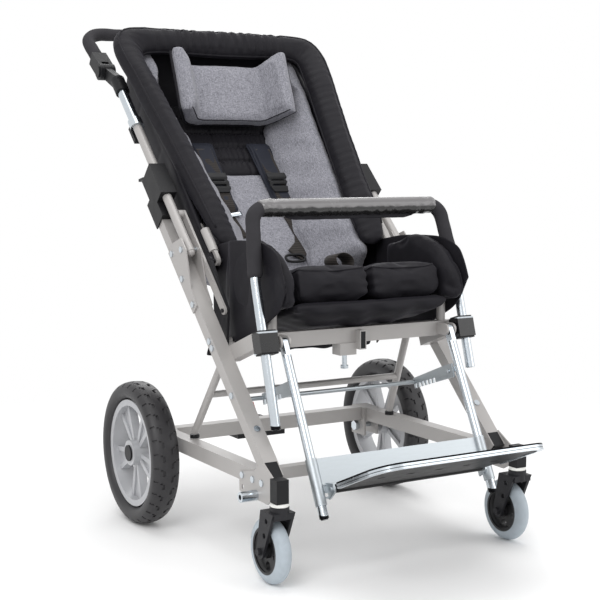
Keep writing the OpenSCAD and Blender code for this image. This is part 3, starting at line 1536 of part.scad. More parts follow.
base_rails();
base_cross_tubes();
diagonals();
frame_plugs();
frame_plates();
tie_down_sleeves();
stem_housings();
stem_washers();
caster_fork_left();
caster_fork_right();
caster_wheel_left();
caster_wheel_right();
rear_tyre_left();
rear_tyre_right();
rear_rim_left();
rear_rim_right();
hub_cap_left();
hub_cap_right();
rear_axles();
strut_frame();
hinge_brackets();
fold_plates();
frame_fasteners();
link_bar_left();
link_bar_right();
handle_tubes();
lock_sleeves();
latch_lever_left();
latch_lever_right();
telescopic_tubes();
clamp_lever_left();
clamp_lever_right();
lower_knuckles();
upper_knuckles();
push_bar();
push_foam();
seat_frame();
grab_clamps();
clamp_inserts();
grab_bar();
grab_foam();
grab_pad();
legrest_tubes();
toothed_plates();
foot_carrier();
footplate_tray();
footplate_rim();
footplate_mat();
brake_housing();
brake_pedal();
seat_cushion();
seat_cover();
seat_wings();
back_frame();
back_shell();
back_bolster();
back_pad();
side_pads();
headrest();
harness();
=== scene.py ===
import math

import bmesh
import bpy
import numpy as np
from bpy.props import FloatProperty, FloatVectorProperty, IntProperty, PointerProperty
from mathutils import Matrix, Vector


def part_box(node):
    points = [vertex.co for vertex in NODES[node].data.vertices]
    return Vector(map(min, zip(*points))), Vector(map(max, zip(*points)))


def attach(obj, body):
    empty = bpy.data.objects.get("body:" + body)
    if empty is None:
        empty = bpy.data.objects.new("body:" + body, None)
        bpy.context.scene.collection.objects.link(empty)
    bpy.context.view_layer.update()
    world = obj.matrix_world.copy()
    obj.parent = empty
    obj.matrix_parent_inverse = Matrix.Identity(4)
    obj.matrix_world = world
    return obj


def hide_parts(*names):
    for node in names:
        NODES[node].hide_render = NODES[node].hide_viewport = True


bl_info = {
    "name": "Special needs buggy",
    "version": (1, 0, 0),
    "blender": (4, 5, 0),
    "location": "View3D > Sidebar > Buggy",
    "description": "Dresses the folding buggy frame with padding, straps, tyres and finishes",
    "category": "Object",
}

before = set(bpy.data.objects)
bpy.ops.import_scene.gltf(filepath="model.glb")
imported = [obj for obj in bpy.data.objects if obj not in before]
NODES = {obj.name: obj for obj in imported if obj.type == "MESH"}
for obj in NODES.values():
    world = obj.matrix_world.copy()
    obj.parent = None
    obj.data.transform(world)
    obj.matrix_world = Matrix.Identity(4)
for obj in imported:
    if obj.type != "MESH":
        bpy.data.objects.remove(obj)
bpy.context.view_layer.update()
UP = Vector((0, 0, 1))
SIDES = ((-1, "left"), (1, "right"))
# Rear wheels: how far out, back and up their centres are
WHEEL_OUT, AXLE_BACK, AXLE_UP = 0.318, 0.13953, 0.1525
# How far along its legs the middle of the grab bar is
GRAB_REACH = 0.262
# Where the back's top starts to round off, and over what length
CROWN_AT, CROWN_LONG = 0.545, 0.123


def linear(code):
    """An sRGB hex colour as linear red, green and blue."""
    parts = [int(code[i:i + 2], 16) / 255 for i in (1, 3, 5)]
    return tuple(c / 12.92 if c <= 0.04045 else ((c + 0.055) / 1.055) ** 2.4 for c in parts)


def tilted(y, z, degrees):
    """Axes of a tilted group: across, along and out of it, as the frame has them."""
    return Matrix.Translation((0, y, z)) @ Matrix.Rotation(math.radians(degrees), 4, "X")


BACK = tilted(-0.03847, 0.572, 47)
SEAT = tilted(-0.29247, 0.507, -14)
GRAB = tilted(-0.27247, 0.431, 74)
PUSH = tilted(0.44383, 0.98334, 35)


def tint(name, about, code):
    """A colour that a user may change."""
    return FloatVectorProperty(name=name, description=about, default=linear(code), subtype="COLOR",
                               min=0, max=1)


def span(name, about, value):
    """A length that a user may change, in metres."""
    return FloatProperty(name=name, description=about, default=value, min=0, unit="LENGTH", subtype="DISTANCE")


class BuggyColours(bpy.types.PropertyGroup):
    """Colours of the finishes."""
    paint: tint("Frame paint", "Powder coat of the steel tubes", "#ABA8A6")
    chrome: tint("Chrome", "Bright plated tubes", "#CCD3D9")
    zinc: tint("Zinc", "Plated sheet of the footplate", "#B4BABE")
    nylon: tint("Moulded nylon", "Knuckles, sleeves and housings", "#19191B")
    cloth: tint("Black cloth", "Woven cover of the seat and back", "#19181C")
    navy: tint("Strap pads", "Cover of the shoulder pads", "#22242C")
    pale: tint("Melange light thread", "Pale thread of the grey cloth", "#A6A6AE")
    dark: tint("Melange dark thread", "Dark thread of the grey cloth", "#5C5C64")
    webbing: tint("Webbing", "Harness straps", "#2A2624")
    foam: tint("Foam", "Hand grips", "#353437")
    vinyl: tint("Vinyl", "Cover of the grab pad", "#6D6B6C")
    rubber: tint("Tyre rubber", "Rear tyres", "#2E2D2F")
    rim: tint("Rim plastic", "Rear wheel rims", "#B7B8BB")
    roller: tint("Caster tyre", "Caster wheel tread", "#AEB8C0")
    pedal: tint("Brake pedal", "Red pedal", "#B33A2E")


class BuggySizes(bpy.types.PropertyGroup):
    """Sizes of the soft pieces."""
    skin: span("Skin mesh", "Mesh size of the padded skins", 0.006)
    swell: span("Swell", "Most that a pad swells when it is stuffed", 0.006)
    piping: span("Piping", "Radius of the piping along sewn edges", 0.0024)
    bolster_thick: span("Bolster thickness", "Thickness of the bolster at its fullest", 0.046)
    tread: span("Tread depth", "Depth of the tyre grooves", 0.0026)
    tread_blocks: IntProperty(name="Tread blocks", description="Blocks around a tyre", default=32, min=24)


def colours():
    return bpy.context.scene.buggy_colours


def sizes():
    return bpy.context.scene.buggy_sizes


# Mesh tools

def pick(obj):
    """Selects one object alone and makes it active."""
    if bpy.context.mode != "OBJECT":
        bpy.ops.object.mode_set(mode="OBJECT")
    bpy.ops.object.select_all(action="DESELECT")
    obj.select_set(True)
    bpy.context.view_layer.objects.active = obj


def clear():
    """Deselects everything, the frame's own parts too."""
    pick(next(iter(NODES.values())))
    bpy.ops.object.select_all(action="DESELECT")


def choose(obj, wanted):
    """Selects in edit mode the faces whose middles are wanted."""
    pick(obj)
    bpy.ops.object.mode_set(mode="EDIT")
    bpy.ops.mesh.select_mode(type="FACE")
    bpy.ops.mesh.select_all(action="DESELECT")
    bpy.ops.object.mode_set(mode="OBJECT")
    for face in obj.data.polygons:
        face.select = wanted(face.center)
    bpy.ops.object.mode_set(mode="EDIT")


def apply(obj, kind, **settings):
    """Adds a modifier with its settings and applies it."""
    pick(obj)
    modifier = obj.modifiers.new(kind.title(), kind)
    for key, value in settings.items():
        setattr(modifier, key, value)
    bpy.ops.object.modifier_apply(modifier=modifier.name)


def piece(name, verts, faces):
    """A mesh object with its doubles merged and its faces turned outwards."""
    mesh = bpy.data.meshes.new(name)
    mesh.from_pydata([tuple(v) for v in verts], [], faces)
    bm = bmesh.new()
    bm.from_mesh(mesh)
    bmesh.ops.remove_doubles(bm, verts=bm.verts, dist=1e-6)
    bmesh.ops.recalc_face_normals(bm, faces=bm.faces)
    bm.to_mesh(mesh)
    bm.free()
    obj = bpy.data.objects.new(name, mesh)
    bpy.context.scene.collection.objects.link(obj)
    smooth(obj)
    return obj


def smooth(obj):
    obj.data.polygons.foreach_set("use_smooth", [True] * len(obj.data.polygons))
    obj.data.update()


def points(obj):
    co = np.empty(len(obj.data.vertices) * 3)
    obj.data.vertices.foreach_get("co", co)
    return co.reshape(-1, 3)


def normals(obj):
    out = np.empty(len(obj.data.vertices) * 3)
    obj.data.vertex_normals.foreach_get("vector", out)
    return out.reshape(-1, 3)


def put(obj, co):
    obj.data.vertices.foreach_set("co", co.ravel())
    obj.data.update()


def inside(axes, co):
    """Row points in the axes of a tilted group."""
    m = np.array(axes.inverted())
    return co @ m[:3, :3].T + m[:3, 3]


def press(obj, depth):
    """Sinks each point along its normal by the depth it is given."""
    put(obj, points(obj) - normals(obj) * depth[:, None])


def groove(x, at, width):
    """One across a sewn line and none away from it."""
    return np.exp(-((x - at) / width) ** 2)


def band(x, low, high, soft):
    """One between two limits, with soft ends."""
    return 1 / (1 + np.exp(-(x - low) / soft)) / (1 + np.exp((x - high) / soft))


def ripple(co, size, seed):
    """Uneven waves of about one size, the same on every run."""
    rng = np.random.default_rng(seed)
    total = np.zeros(len(co))
    for _ in range(7):
        way = rng.normal(size=3)
        way *= rng.uniform(0.6, 1.5) / np.linalg.norm(way)
        total += np.sin(co @ way * (2 * math.pi / size) + rng.uniform(0, 2 * math.pi))
    return total / 7


def curve(knots, x):
    """Smooth height through knots along x."""
    xs = [k[0] for k in knots]
    x = min(max(x, xs[0]), xs[-1])
    i = max(k for k in range(len(xs) - 1) if xs[k] <= x)
    t = (x - xs[i]) / (xs[i + 1] - xs[i])
    y = [k[1] for k in knots]
    before = (y[i + 1] - y[i - 1]) / (xs[i + 1] - xs[i - 1]) if i else (y[1] - y[0]) / (xs[1] - xs[0])
    after = (y[i + 2] - y[i]) / (xs[i + 2] - xs[i]) if i + 2 < len(xs) else (y[-1] - y[-2]) / (xs[-1] - xs[-2])
    h = xs[i + 1] - xs[i]
    return (y[i] * (2 * t ** 3 - 3 * t * t + 1) + before * h * (t ** 3 - 2 * t * t + t)
            + y[i + 1] * (3 * t * t - 2 * t ** 3) + after * h * (t ** 3 - t * t))


def loft(name, rings, closed=False):
    """Skins rings of equal counts; open lofts get end caps."""
    n = len(rings[0])
    verts = [v for ring in rings for v in ring]
    faces = []
    last = len(rings) if closed else len(rings) - 1
    for i in range(last):
        j = (i + 1) % len(rings)
        for k in range(n):
            l = (k + 1) % n
            faces.append((i * n + k, i * n + l, j * n + l, j * n + k))
    if not closed:
        for start, ring in ((0, rings[0]), (len(verts) - n, rings[-1])):
            verts.append(sum((Vector(v) for v in ring), Vector()) / n)
            faces += [(start + k, start + (k + 1) % n, len(verts) - 1) for k in range(n)]
    return piece(name, verts, faces)


def squared(angle, power):
    """A point of a round that is squared off; the smaller the power, the squarer."""
    c, s = math.cos(angle), math.sin(angle)
    return math.copysign(abs(c) ** power, c), math.copysign(abs(s) ** power, s)


def oval(w, t, power, n=28):
    """A crowned section: a box of that size with rounded corners."""
    out = []
    for k in range(n):
        x, y = squared(2 * math.pi * k / n, 2 / power)
        out.append((w / 2 * x, t / 2 * y))
    return out


def sheet(name, nu, nv, spot, thick, subdivided=True):
    """A sheet of cloth through spot(i, j), with its thickness; gives the piece and its flat area."""
    verts = [spot(i, j / nv) for i in range(nu + 1) for j in range(nv + 1)]
    starts = [i * (nv + 1) + j for i in range(nu) for j in range(nv)]
    faces = [(a, a + nv + 1, a + nv + 2, a + 1) for a in starts]
    obj = piece(name, verts, faces)
    area = sum(p.area for p in obj.data.polygons)
    apply(obj, "SOLIDIFY", thickness=thick, offset=0)
    if subdivided:
        apply(obj, "SUBSURF", levels=1, render_levels=1)
    return obj, area


def sweep(name, path, section, up, closed=False):
    """Carries a section along a path; section(i) gives points across and along up(i)."""
    rings = []
    for i, p in enumerate(path):
        a = path[i - 1] if closed or i else path[0]
        b = path[(i + 1) % len(path)] if closed or i + 1 < len(path) else path[-1]
        way = (b - a).normalized()
        out = up(i)
        across = way.cross(out).normalized()
        out = across.cross(way).normalized()
        rings.append([p + across * x + out * y for x, y in section(i)])
    return loft(name, rings, closed)


def pillow(name, axes, spot, half, nu=26, nv=26, power=5.0):
    """A closed crowned form: spot(u, v) gives its middle sheet and the way out, half(u, v) half its depth."""
    grid = [[math.sin(math.pi * i / n - math.pi / 2) for i in range(n + 1)] for n in (nu, nv)]
    verts, faces = [], []
    for side in (1, -1):
        start = len(verts)
        for u in grid[0]:
            for v in grid[1]:
                f = (max(0.0, 1 - abs(u) ** power) * max(0.0, 1 - abs(v) ** power)) ** (1 / power)
                p, n = spot(u, v)
                verts.append(axes @ (p + n * (side * f * half(u, v))))
        for i in range(nu):
            for j in range(nv):
                a = start + i * (nv + 1) + j
                faces.append((a, a + nv + 1, a + nv + 2, a + 1))
    return piece(name, verts, faces)


def stuff(obj, cap=None, pressure=4.0, slack=0.0, skin=None):
    """Fills a closed form like stuffed cloth: an even skin swells under pressure, no further than the cap."""
    apply(obj, "REMESH", mode="VOXEL", voxel_size=skin or sizes().skin, use_smooth_shade=True)
    before, frames = points(obj), 20
    scene = bpy.context.scene
    filling = obj.modifiers.new("Cloth", "CLOTH")
    filling.settings.use_pressure = True
    filling.settings.uniform_pressure_force = pressure
    filling.settings.shrink_min = -slack
    filling.settings.effector_weights.gravity = 0
    filling.collision_settings.use_collision = False
    filling.point_cache.frame_end = frames
    for number in range(1, frames + 1):
        scene.frame_set(number)
    pick(obj)
    bpy.ops.object.modifier_apply(modifier=filling.name)
    scene.frame_set(1)
    move = points(obj) - before
    size = np.linalg.norm(move, axis=1)
    put(obj, before + move * np.minimum(1, (cap or sizes().swell) / np.maximum(size, 1e-9))[:, None])
    apply(obj, "SUBSURF", levels=1, render_levels=1)
    smooth(obj)


def rounded(corners, radius, step=0.006):
    """A path through corners with arcs of one radius, in even steps."""
    path = [corners[0]]
    for a, b, c in zip(corners, corners[1:], corners[2:]):
        v, w = (a - b).normalized(), (c - b).normalized()
        angle = v.angle(w)
        reach = radius / math.tan(angle / 2)
        middle = b + (v + w).normalized() * (radius / math.sin(angle / 2))
        p, q = b + v * reach - middle, b + w * reach - middle
        turn = p.angle(q)
        count = max(3, int(turn / 0.13))
        path += [middle + p.normalized().slerp(q.normalized(), k / count) * radius for k in range(count + 1)]
    path.append(corners[-1])
    out = [path[0]]
    for p in path[1:]:
        gap = p - out[-1]
        count = max(1, round(gap.length / step))
        start = out[-1].copy()
        out += [start + gap * ((k + 1) / count) for k in range(count)]
    return out


def piping(name, path, radius, closed=False):
    """A round welt along a sewn edge."""
    ring = [(radius * math.cos(a), radius * math.sin(a)) for a in np.linspace(0, 2 * math.pi, 9)[:-1]]
    way = (path[-1] - path[0]) if not closed else UP
    side, spare = Vector((0.31, 0.52, 0.79)), Vector((0.8, -0.5, 0.2))
    if abs(way.normalized().dot(side.normalized())) >= 0.9:
        side = spare
    return sweep(name, path, lambda i: ring, lambda i: side, closed)


def along_skin(obj, path, lift=0.0):
    """Lays a path on the nearest skin of a piece."""
    bpy.context.view_layer.update()
    out = []
    for p in path:
        hit, place, normal, _ = obj.closest_point_on_mesh(p)
        out.append(place + normal * lift if hit else p)
    return out


def dress(obj, material, body, replaces=()):
    """Gives a piece its finish and the body it moves with, and hides the frame parts it replaces."""
    obj.data.materials.clear()
    obj.data.materials.append(material)
    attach(obj, body)
    if replaces:
        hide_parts(*replaces)
    return obj


def join(name, parts):
    """Joins like parts into one piece."""
    pick(parts[0])
    for part in parts:
        part.select_set(True)
    bpy.ops.object.join()
    parts[0].name = parts[0].data.name = name
    return parts[0]


# Finishes

def node(tree, kind, settings=None, inputs=None):
    """Adds a node with its settings; a socket given as an input is linked, any other value is set."""
    made = tree.nodes.new(kind)
    for key, value in (settings or {}).items():
        setattr(made, key, value)
    for key, value in (inputs or {}).items():
        if isinstance(value, bpy.types.NodeSocket):
            tree.links.new(value, made.inputs[key])
        else:
            made.inputs[key].default_value = value
    return made


def per_mm(size):
    """Texture scale whose features are about that many millimetres."""
    return 1000.0 / size


def shade(colour, factor):
    return (*[min(1.0, c * factor) for c in colour], 1.0)


def surface(name, **sockets):
    """A new material, its tree, its shader and its Object coordinates."""
    if name in bpy.data.materials:
        bpy.data.materials.remove(bpy.data.materials[name])
    material = bpy.data.materials.new(name)
    material.use_nodes = True
    tree = material.node_tree
    shader = tree.nodes["Principled BSDF"]
    for key, value in sockets.items():
        shader.inputs[key.replace("_", " ")].default_value = value
    return material, tree, shader, node(tree, "ShaderNodeTexCoord").outputs["Object"]


def finish(tree, shader, colour, rough, height, strength, distance):
    """Links colour, roughness and bump to the shader."""
    tree.links.new(colour, shader.inputs["Base Color"])
    tree.links.new(rough, shader.inputs["Roughness"])
    bump = node(tree, "ShaderNodeBump", None, {"Strength": strength, "Distance": distance, "Height": height})
    tree.links.new(bump.outputs["Normal"], shader.inputs["Normal"])


def blend(tree, factor, a, b):
    return node(tree, "ShaderNodeMix", {"data_type": "RGBA"}, {0: factor, 6: a, 7: b}).outputs[2]


def remap(tree, value, low, high):
    return node(tree, "ShaderNodeMapRange", None, {
        "Value": value, "To Min": low, "To Max": high}).outputs["Result"]


def clouds(tree, place, size, detail=3.0, rough=0.55):
    return node(tree, "ShaderNodeTexNoise", None, {
        "Vector": place, "Scale": per_mm(size), "Detail": detail, "Roughness": rough}).outputs["Fac"]


def step(tree, value, at, soft):
    """None below a value and one above it, with a soft edge."""
    return node(tree, "ShaderNodeMapRange", None, {
        "Value": value, "From Min": at - soft, "From Max": at + soft}).outputs["Result"]


def past(tree, place, axes, way, at, soft):
    """One past a place along one way of a tilted group and none before it."""
    spot, way = axes.translation, axes.to_3x3() @ Vector(way)
    arm = node(tree, "ShaderNodeVectorMath", {"operation": "SUBTRACT"}, {0: place, 1: spot}).outputs["Vector"]
    run = node(tree, "ShaderNodeVectorMath", {"operation": "DOT_PRODUCT"}, {0: arm, 1: way}).outputs["Value"]
    return step(tree, run, at, soft)


def powder_coated_steel(name="powder_coated_steel", covered=None):
    """Baked powder on steel tube: satin grey with a faint orange peel; black where cloth sleeves it."""
    c = colours().paint
    m, t, s, p = surface(name, Metallic=0.1, Coat_Weight=0.15, Coat_Roughness=0.25)
    slow, fine = clouds(t, p, 70), clouds(t, p, 1.8, 1.0)
    paint = blend(t, slow, shade(c, 0.93), shade(c, 1.05))
    if covered is not None:
        paint = blend(t, past(t, p, BACK, (0, 1, 0), covered, 0.001), paint, shade(colours().cloth, 1))
    finish(t, s, paint, remap(t, slow, 0.30, 0.46), fine, 0.10, 0.0004)
    return m


def chrome_plate(name="chrome_plate", plug=None):
    """Bright plating on tube: a soft mirror with light smears; black where a plug closes the lowest end."""
    c = colours().chrome
    m, t, s, p = surface(name, Metallic=1.0)
    smear = clouds(t, p, 26, 4.0)
    plate = blend(t, smear, shade(c, 0.9), shade(c, 1.0))
    if plug is not None:
        plate = blend(t, past(t, p, Matrix(), (0, 0, 1), plug, 0.0004), shade(colours().nylon, 1), plate)
    finish(t, s, plate, remap(t, smear, 0.14, 0.28), clouds(t, p, 3), 0.03, 0.0002)
    return m


def zinc_plate():
    """Zinc-plated sheet: dull silver with a blue cast, brushed softly along its length."""
    c = colours().zinc
    m, t, s, p = surface("zinc_plate", Metallic=1.0)
    long = node(t, "ShaderNodeMapping", None, {"Vector": p, "Scale": (0.15, 1.0, 1.0)}).outputs["Vector"]
    brush = clouds(t, long, 5, 4.0)
    tone = blend(t, brush, shade(c, 0.86), shade(c, 1.06))
    finish(t, s, tone, remap(t, brush, 0.34, 0.50), brush, 0.05, 0.0002)
    return m


def plated_rim():
    """Plated lip of the footplate: bright channel, painted shade along a groove in it and the mat's black
    rubber above.
    """
    c = colours().chrome
    m, t, s, p = surface("plated_rim", Metallic=1.0)
    co = points(NODES["footplate_rim"])
    centre = (co.min(0) + co.max(0)) / 2
    up = np.linalg.svd(co - co.mean(0), full_matrices=False)[2][2]
    up = up if up[2] > 0 else -up
    run = (co - centre) @ up
    axes, low, tall = Matrix.Translation(Vector(centre)), run.min(), run.max() - run.min()
    mat_edge, lower, upper = (past(t, p, axes, up, low + tall * k, 0.0003) for k in (0.74, 0.30, 0.42))
    # Painted shade: a thin band along the groove in the plating is painted dark.
    groove_shade = node(t, "ShaderNodeMath", {"operation": "SUBTRACT"}, {0: lower, 1: upper}).outputs[0]
    smear = clouds(t, p, 26, 4.0)
    lip = blend(t, groove_shade, blend(t, smear, shade(c, 0.9), shade(c, 1.0)), shade(c, 0.18))
    both = blend(t, mat_edge, lip, (*linear("#141416"), 1))
    finish(t, s, both, remap(t, smear, 0.20, 0.34), smear, 0.03, 0.0002)
    return m


def banded_clamp():
    """Clamp of black nylon in a steel band: glossy black, with the plated edges of the band at both ends."""
    c = colours()
    m, t, s, p = surface("banded_clamp", Specular_IOR_Level=0.5)
    low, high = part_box("grab_clamps")
    edge = node(t, "ShaderNodeSeparateXYZ", None, {0: p}).outputs["Z"]
    ends = [node(t, "ShaderNodeMath", {"operation": kind}, {0: edge, 1: at}).outputs[0]
            for kind, at in (("LESS_THAN", low[2] + 0.0030), ("GREATER_THAN", high[2] - 0.0030))]
    band_part = node(t, "ShaderNodeMath", {"operation": "MAXIMUM"}, {0: ends[0], 1: ends[1]}).outputs[0]
    slow = clouds(t, p, 20)
    both = blend(t, band_part, shade(c.nylon, 0.8), shade(c.chrome, 0.9))
    finish(t, s, both, remap(t, slow, 0.22, 0.34), slow, 0.05, 0.0002)
    return m


def moulded_nylon(name="moulded_nylon", colour=None):
    """Glass-filled nylon from a mould: dull black with a fine spark-eroded grain and paler rubbed areas."""
    c = colour or colours().nylon
    m, t, s, p = surface(name, Specular_IOR_Level=0.22)
    slow, grain = clouds(t, p, 22), clouds(t, p, 0.9, 2.0)
    tone = blend(t, slow, shade(c, 0.85), shade(c, 1.35))
    finish(t, s, tone, remap(t, slow, 0.36, 0.54), grain, 0.22, 0.0003)
    return m


def woven(tree, place, pitch):
    """Height of a plain weave: crossed threads at one pitch, whichever way a face turns."""
    kind = {"wave_type": "BANDS", "wave_profile": "SIN"}
    waves = [node(tree, "ShaderNodeTexWave", {**kind, "bands_direction": way}, {
        "Vector": place, "Scale": per_mm(pitch) / 20 * math.pi, "Distortion": 0.6, "Detail": 1.0,
        "Detail Scale": 2.0}).outputs["Fac"] for way in ("X", "Y", "Z")]
    first = node(tree, "ShaderNodeMath", {"operation": "MULTIPLY"}, {0: waves[0], 1: waves[1]}).outputs[0]
    second = node(tree, "ShaderNodeMath", {"operation": "MULTIPLY"}, {0: waves[1], 1: waves[2]}).outputs[0]
    return node(tree, "ShaderNodeMath", {"operation": "ADD"}, {0: first, 1: second}).outputs[0]


def black_polyester(name="black_polyester", colour=None):
    """Woven polyester over foam: near black, soft sheen; its 0.4 mm thread is drawn at 1.6 mm to show."""
    c = colour or colours().cloth
    m, t, s, p = surface(name, Sheen_Weight=0.16, Sheen_Roughness=0.32, Specular_IOR_Level=0.16)
    s.inputs["Sheen Tint"].default_value = (*linear("#8A8896"), 1)
    slow, thread = clouds(t, p, 45, 4.0), woven(t, p, 1.6)
    slub = clouds(t, p, 2.2, 3.0)
    base = blend(t, slow, shade(c, 0.78), shade(c, 1.35))
    yarn = blend(t, remap(t, slub, 0.0, 0.35), base, shade(c, 1.9))
    finish(t, s, yarn, remap(t, slow, 0.52, 0.72), thread, 0.16, 0.0005)
    return m


def grey_melange():
    """Cloth of pale and dark yarns: speckled grey with short streaks along both threads, dull and furry."""
    c = colours()
    m, t, s, p = surface("grey_melange", Sheen_Weight=0.15, Sheen_Roughness=0.6, Specular_IOR_Level=0.2)
    speck = clouds(t, p, 1.7, 5.0, 0.75)
    warp = node(t, "ShaderNodeMapping", None, {"Vector": p, "Scale": (1.0, 0.22, 0.22)}).outputs["Vector"]
    weft = node(t, "ShaderNodeMapping", None, {"Vector": p, "Scale": (0.22, 1.0, 1.0)}).outputs["Vector"]
    streak = node(t, "ShaderNodeMath", {"operation": "ADD"}, {
        0: clouds(t, warp, 1.6, 2.0), 1: clouds(t, weft, 1.6, 2.0)}).outputs[0]
    both = node(t, "ShaderNodeMath", {"operation": "MULTIPLY_ADD"}, {0: streak, 1: 0.5, 2: speck}).outputs[0]
    yarn = blend(t, step(t, both, 1.0, 0.22), shade(c.dark, 1), shade(c.pale, 1))
    finish(t, s, yarn, remap(t, speck, 0.78, 0.92), woven(t, p, 1.6), 0.22, 0.0005)
    return m


def ribbed_webbing():
    """Flat woven strap: matt, faintly brown, with cross ribs 1.5 mm apart that are drawn at 2.4 mm to show."""
    c = colours().webbing
    m, t, s, p = surface("ribbed_webbing", Sheen_Weight=0.08, Specular_IOR_Level=0.25)
    rib = node(t, "ShaderNodeTexWave", {"wave_type": "BANDS", "bands_direction": "Z"}, {
        "Vector": p, "Scale": per_mm(2.4) / 20 * math.pi, "Distortion": 0.4}).outputs["Fac"]
    fuzz = clouds(t, p, 1.2, 3.0)
    # The colour follows the ribs: painted shade between them and a painted highlight on their tops.
    finish(t, s, blend(t, rib, shade(c, 0.7), shade(c, 1.6)), remap(t, fuzz, 0.7, 0.9), rib, 0.35, 0.0006)
    return m


def closed_cell_foam():
    """Nitrile foam sleeve: matt dark grey with pores of about a millimetre and slightly shinier patches."""
    c = colours().foam
    m, t, s, p = surface("closed_cell_foam", Specular_IOR_Level=0.16)
    pores = node(t, "ShaderNodeTexVoronoi", None, {"Vector": p, "Scale": per_mm(1.4)}).outputs["Distance"]
    slow = clouds(t, p, 30)
    tone = blend(t, slow, shade(c, 0.8), shade(c, 1.25))
    finish(t, s, tone, remap(t, slow, 0.78, 0.92), pores, 0.35, 0.0005)
    return m


def coated_vinyl():
    """Soft calendered vinyl: grey, with painted shade turning it near black below, a wet gloss and creases
    around the roll.
    """
    c = colours().vinyl
    m, t, s, p = surface("coated_vinyl", Coat_Weight=0.35, Coat_Roughness=0.12, Specular_IOR_Level=0.5)
    stretched = node(t, "ShaderNodeMapping", None, {"Vector": p, "Scale": (1.0, 0.35, 0.35)}).outputs["Vector"]
    crease, slow = clouds(t, stretched, 14, 3.0), clouds(t, p, 40)
    # Painted shade: below a wavy line along the roll, the vinyl's underside is painted near black.
    uneven = node(t, "ShaderNodeVectorMath", {"operation": "MULTIPLY_ADD"}, {
        0: clouds(t, p, 22, 4.0), 1: (0, 0, 0.010), 2: p}).outputs["Vector"]
    top = past(t, uneven, GRAB, (0, 1, 0), 0.2615, 0.0012)
    grey = blend(t, slow, shade(c, 0.88), shade(c, 1.1))
    finish(t, s, blend(t, top, shade(c, 0.10), grey), remap(t, slow, 0.20, 0.32), crease, 0.18, 0.0012)
    return m


def tyre_rubber():
    """Cured rubber: dark grey with a low gloss, dusted paler in patches."""
    c = colours().rubber
    m, t, s, p = surface("tyre_rubber", Specular_IOR_Level=0.4)
    dust, grain = clouds(t, p, 16, 5.0, 0.7), clouds(t, p, 1.1)
    tone = blend(t, dust, shade(c, 0.75), shade(c, 1.3))
    finish(t, s, tone, remap(t, dust, 0.36, 0.55), grain, 0.15, 0.0004)
    return m


def rim_plastic():
    """Silver-grey moulded rim: satin, with a fine pearl and faint flow marks."""
    c = colours().rim
    m, t, s, p = surface("rim_plastic", Metallic=0.15, Specular_IOR_Level=0.5)
    flow, pearl = clouds(t, p, 34, 3.0), clouds(t, p, 0.8, 1.0)
    tone = blend(t, flow, shade(c, 0.9), shade(c, 1.05))
    finish(t, s, tone, remap(t, flow, 0.34, 0.46), pearl, 0.06, 0.0002)
    return m


def caster_rubber(centre, hub):
    """Caster wheel: pale polyurethane tread on a black hub, told apart by the distance from its axle."""
    c = colours()
    m, t, s, p = surface(f"caster_rubber_{'left' if centre[0] < 0 else 'right'}", Specular_IOR_Level=0.45)
    arm = node(t, "ShaderNodeVectorMath", {"operation": "SUBTRACT"}, {0: p, 1: centre}).outputs["Vector"]
    arm = node(t, "ShaderNodeVectorMath", {"operation": "MULTIPLY"}, {0: arm, 1: (0, 1, 1)}).outputs["Vector"]
    reach = node(t, "ShaderNodeVectorMath", {"operation": "LENGTH"}, {0: arm}).outputs["Value"]
    dust = clouds(t, p, 12, 4.0)
    pale = blend(t, dust, shade(c.roller, 0.84), shade(c.roller, 1.06))
    both = blend(t, step(t, reach, hub, 0.0006), shade(c.nylon, 1.1), pale)
    finish(t, s, both, remap(t, dust, 0.38, 0.58), clouds(t, p, 1.0), 0.15, 0.0003)
    return m


def mat_rubber():
    """Ribbed rubber mat: black, dull and slightly dusty between the ribs."""
    m, t, s, p = surface("mat_rubber", Specular_IOR_Level=0.15)
    dust = clouds(t, p, 18, 4.0)
    c = linear("#1E1E20")
    tone = blend(t, dust, shade(c, 0.8), shade(c, 1.4))
    finish(t, s, tone, remap(t, dust, 0.55, 0.8), clouds(t, p, 1.0), 0.3, 0.0004)
    return m


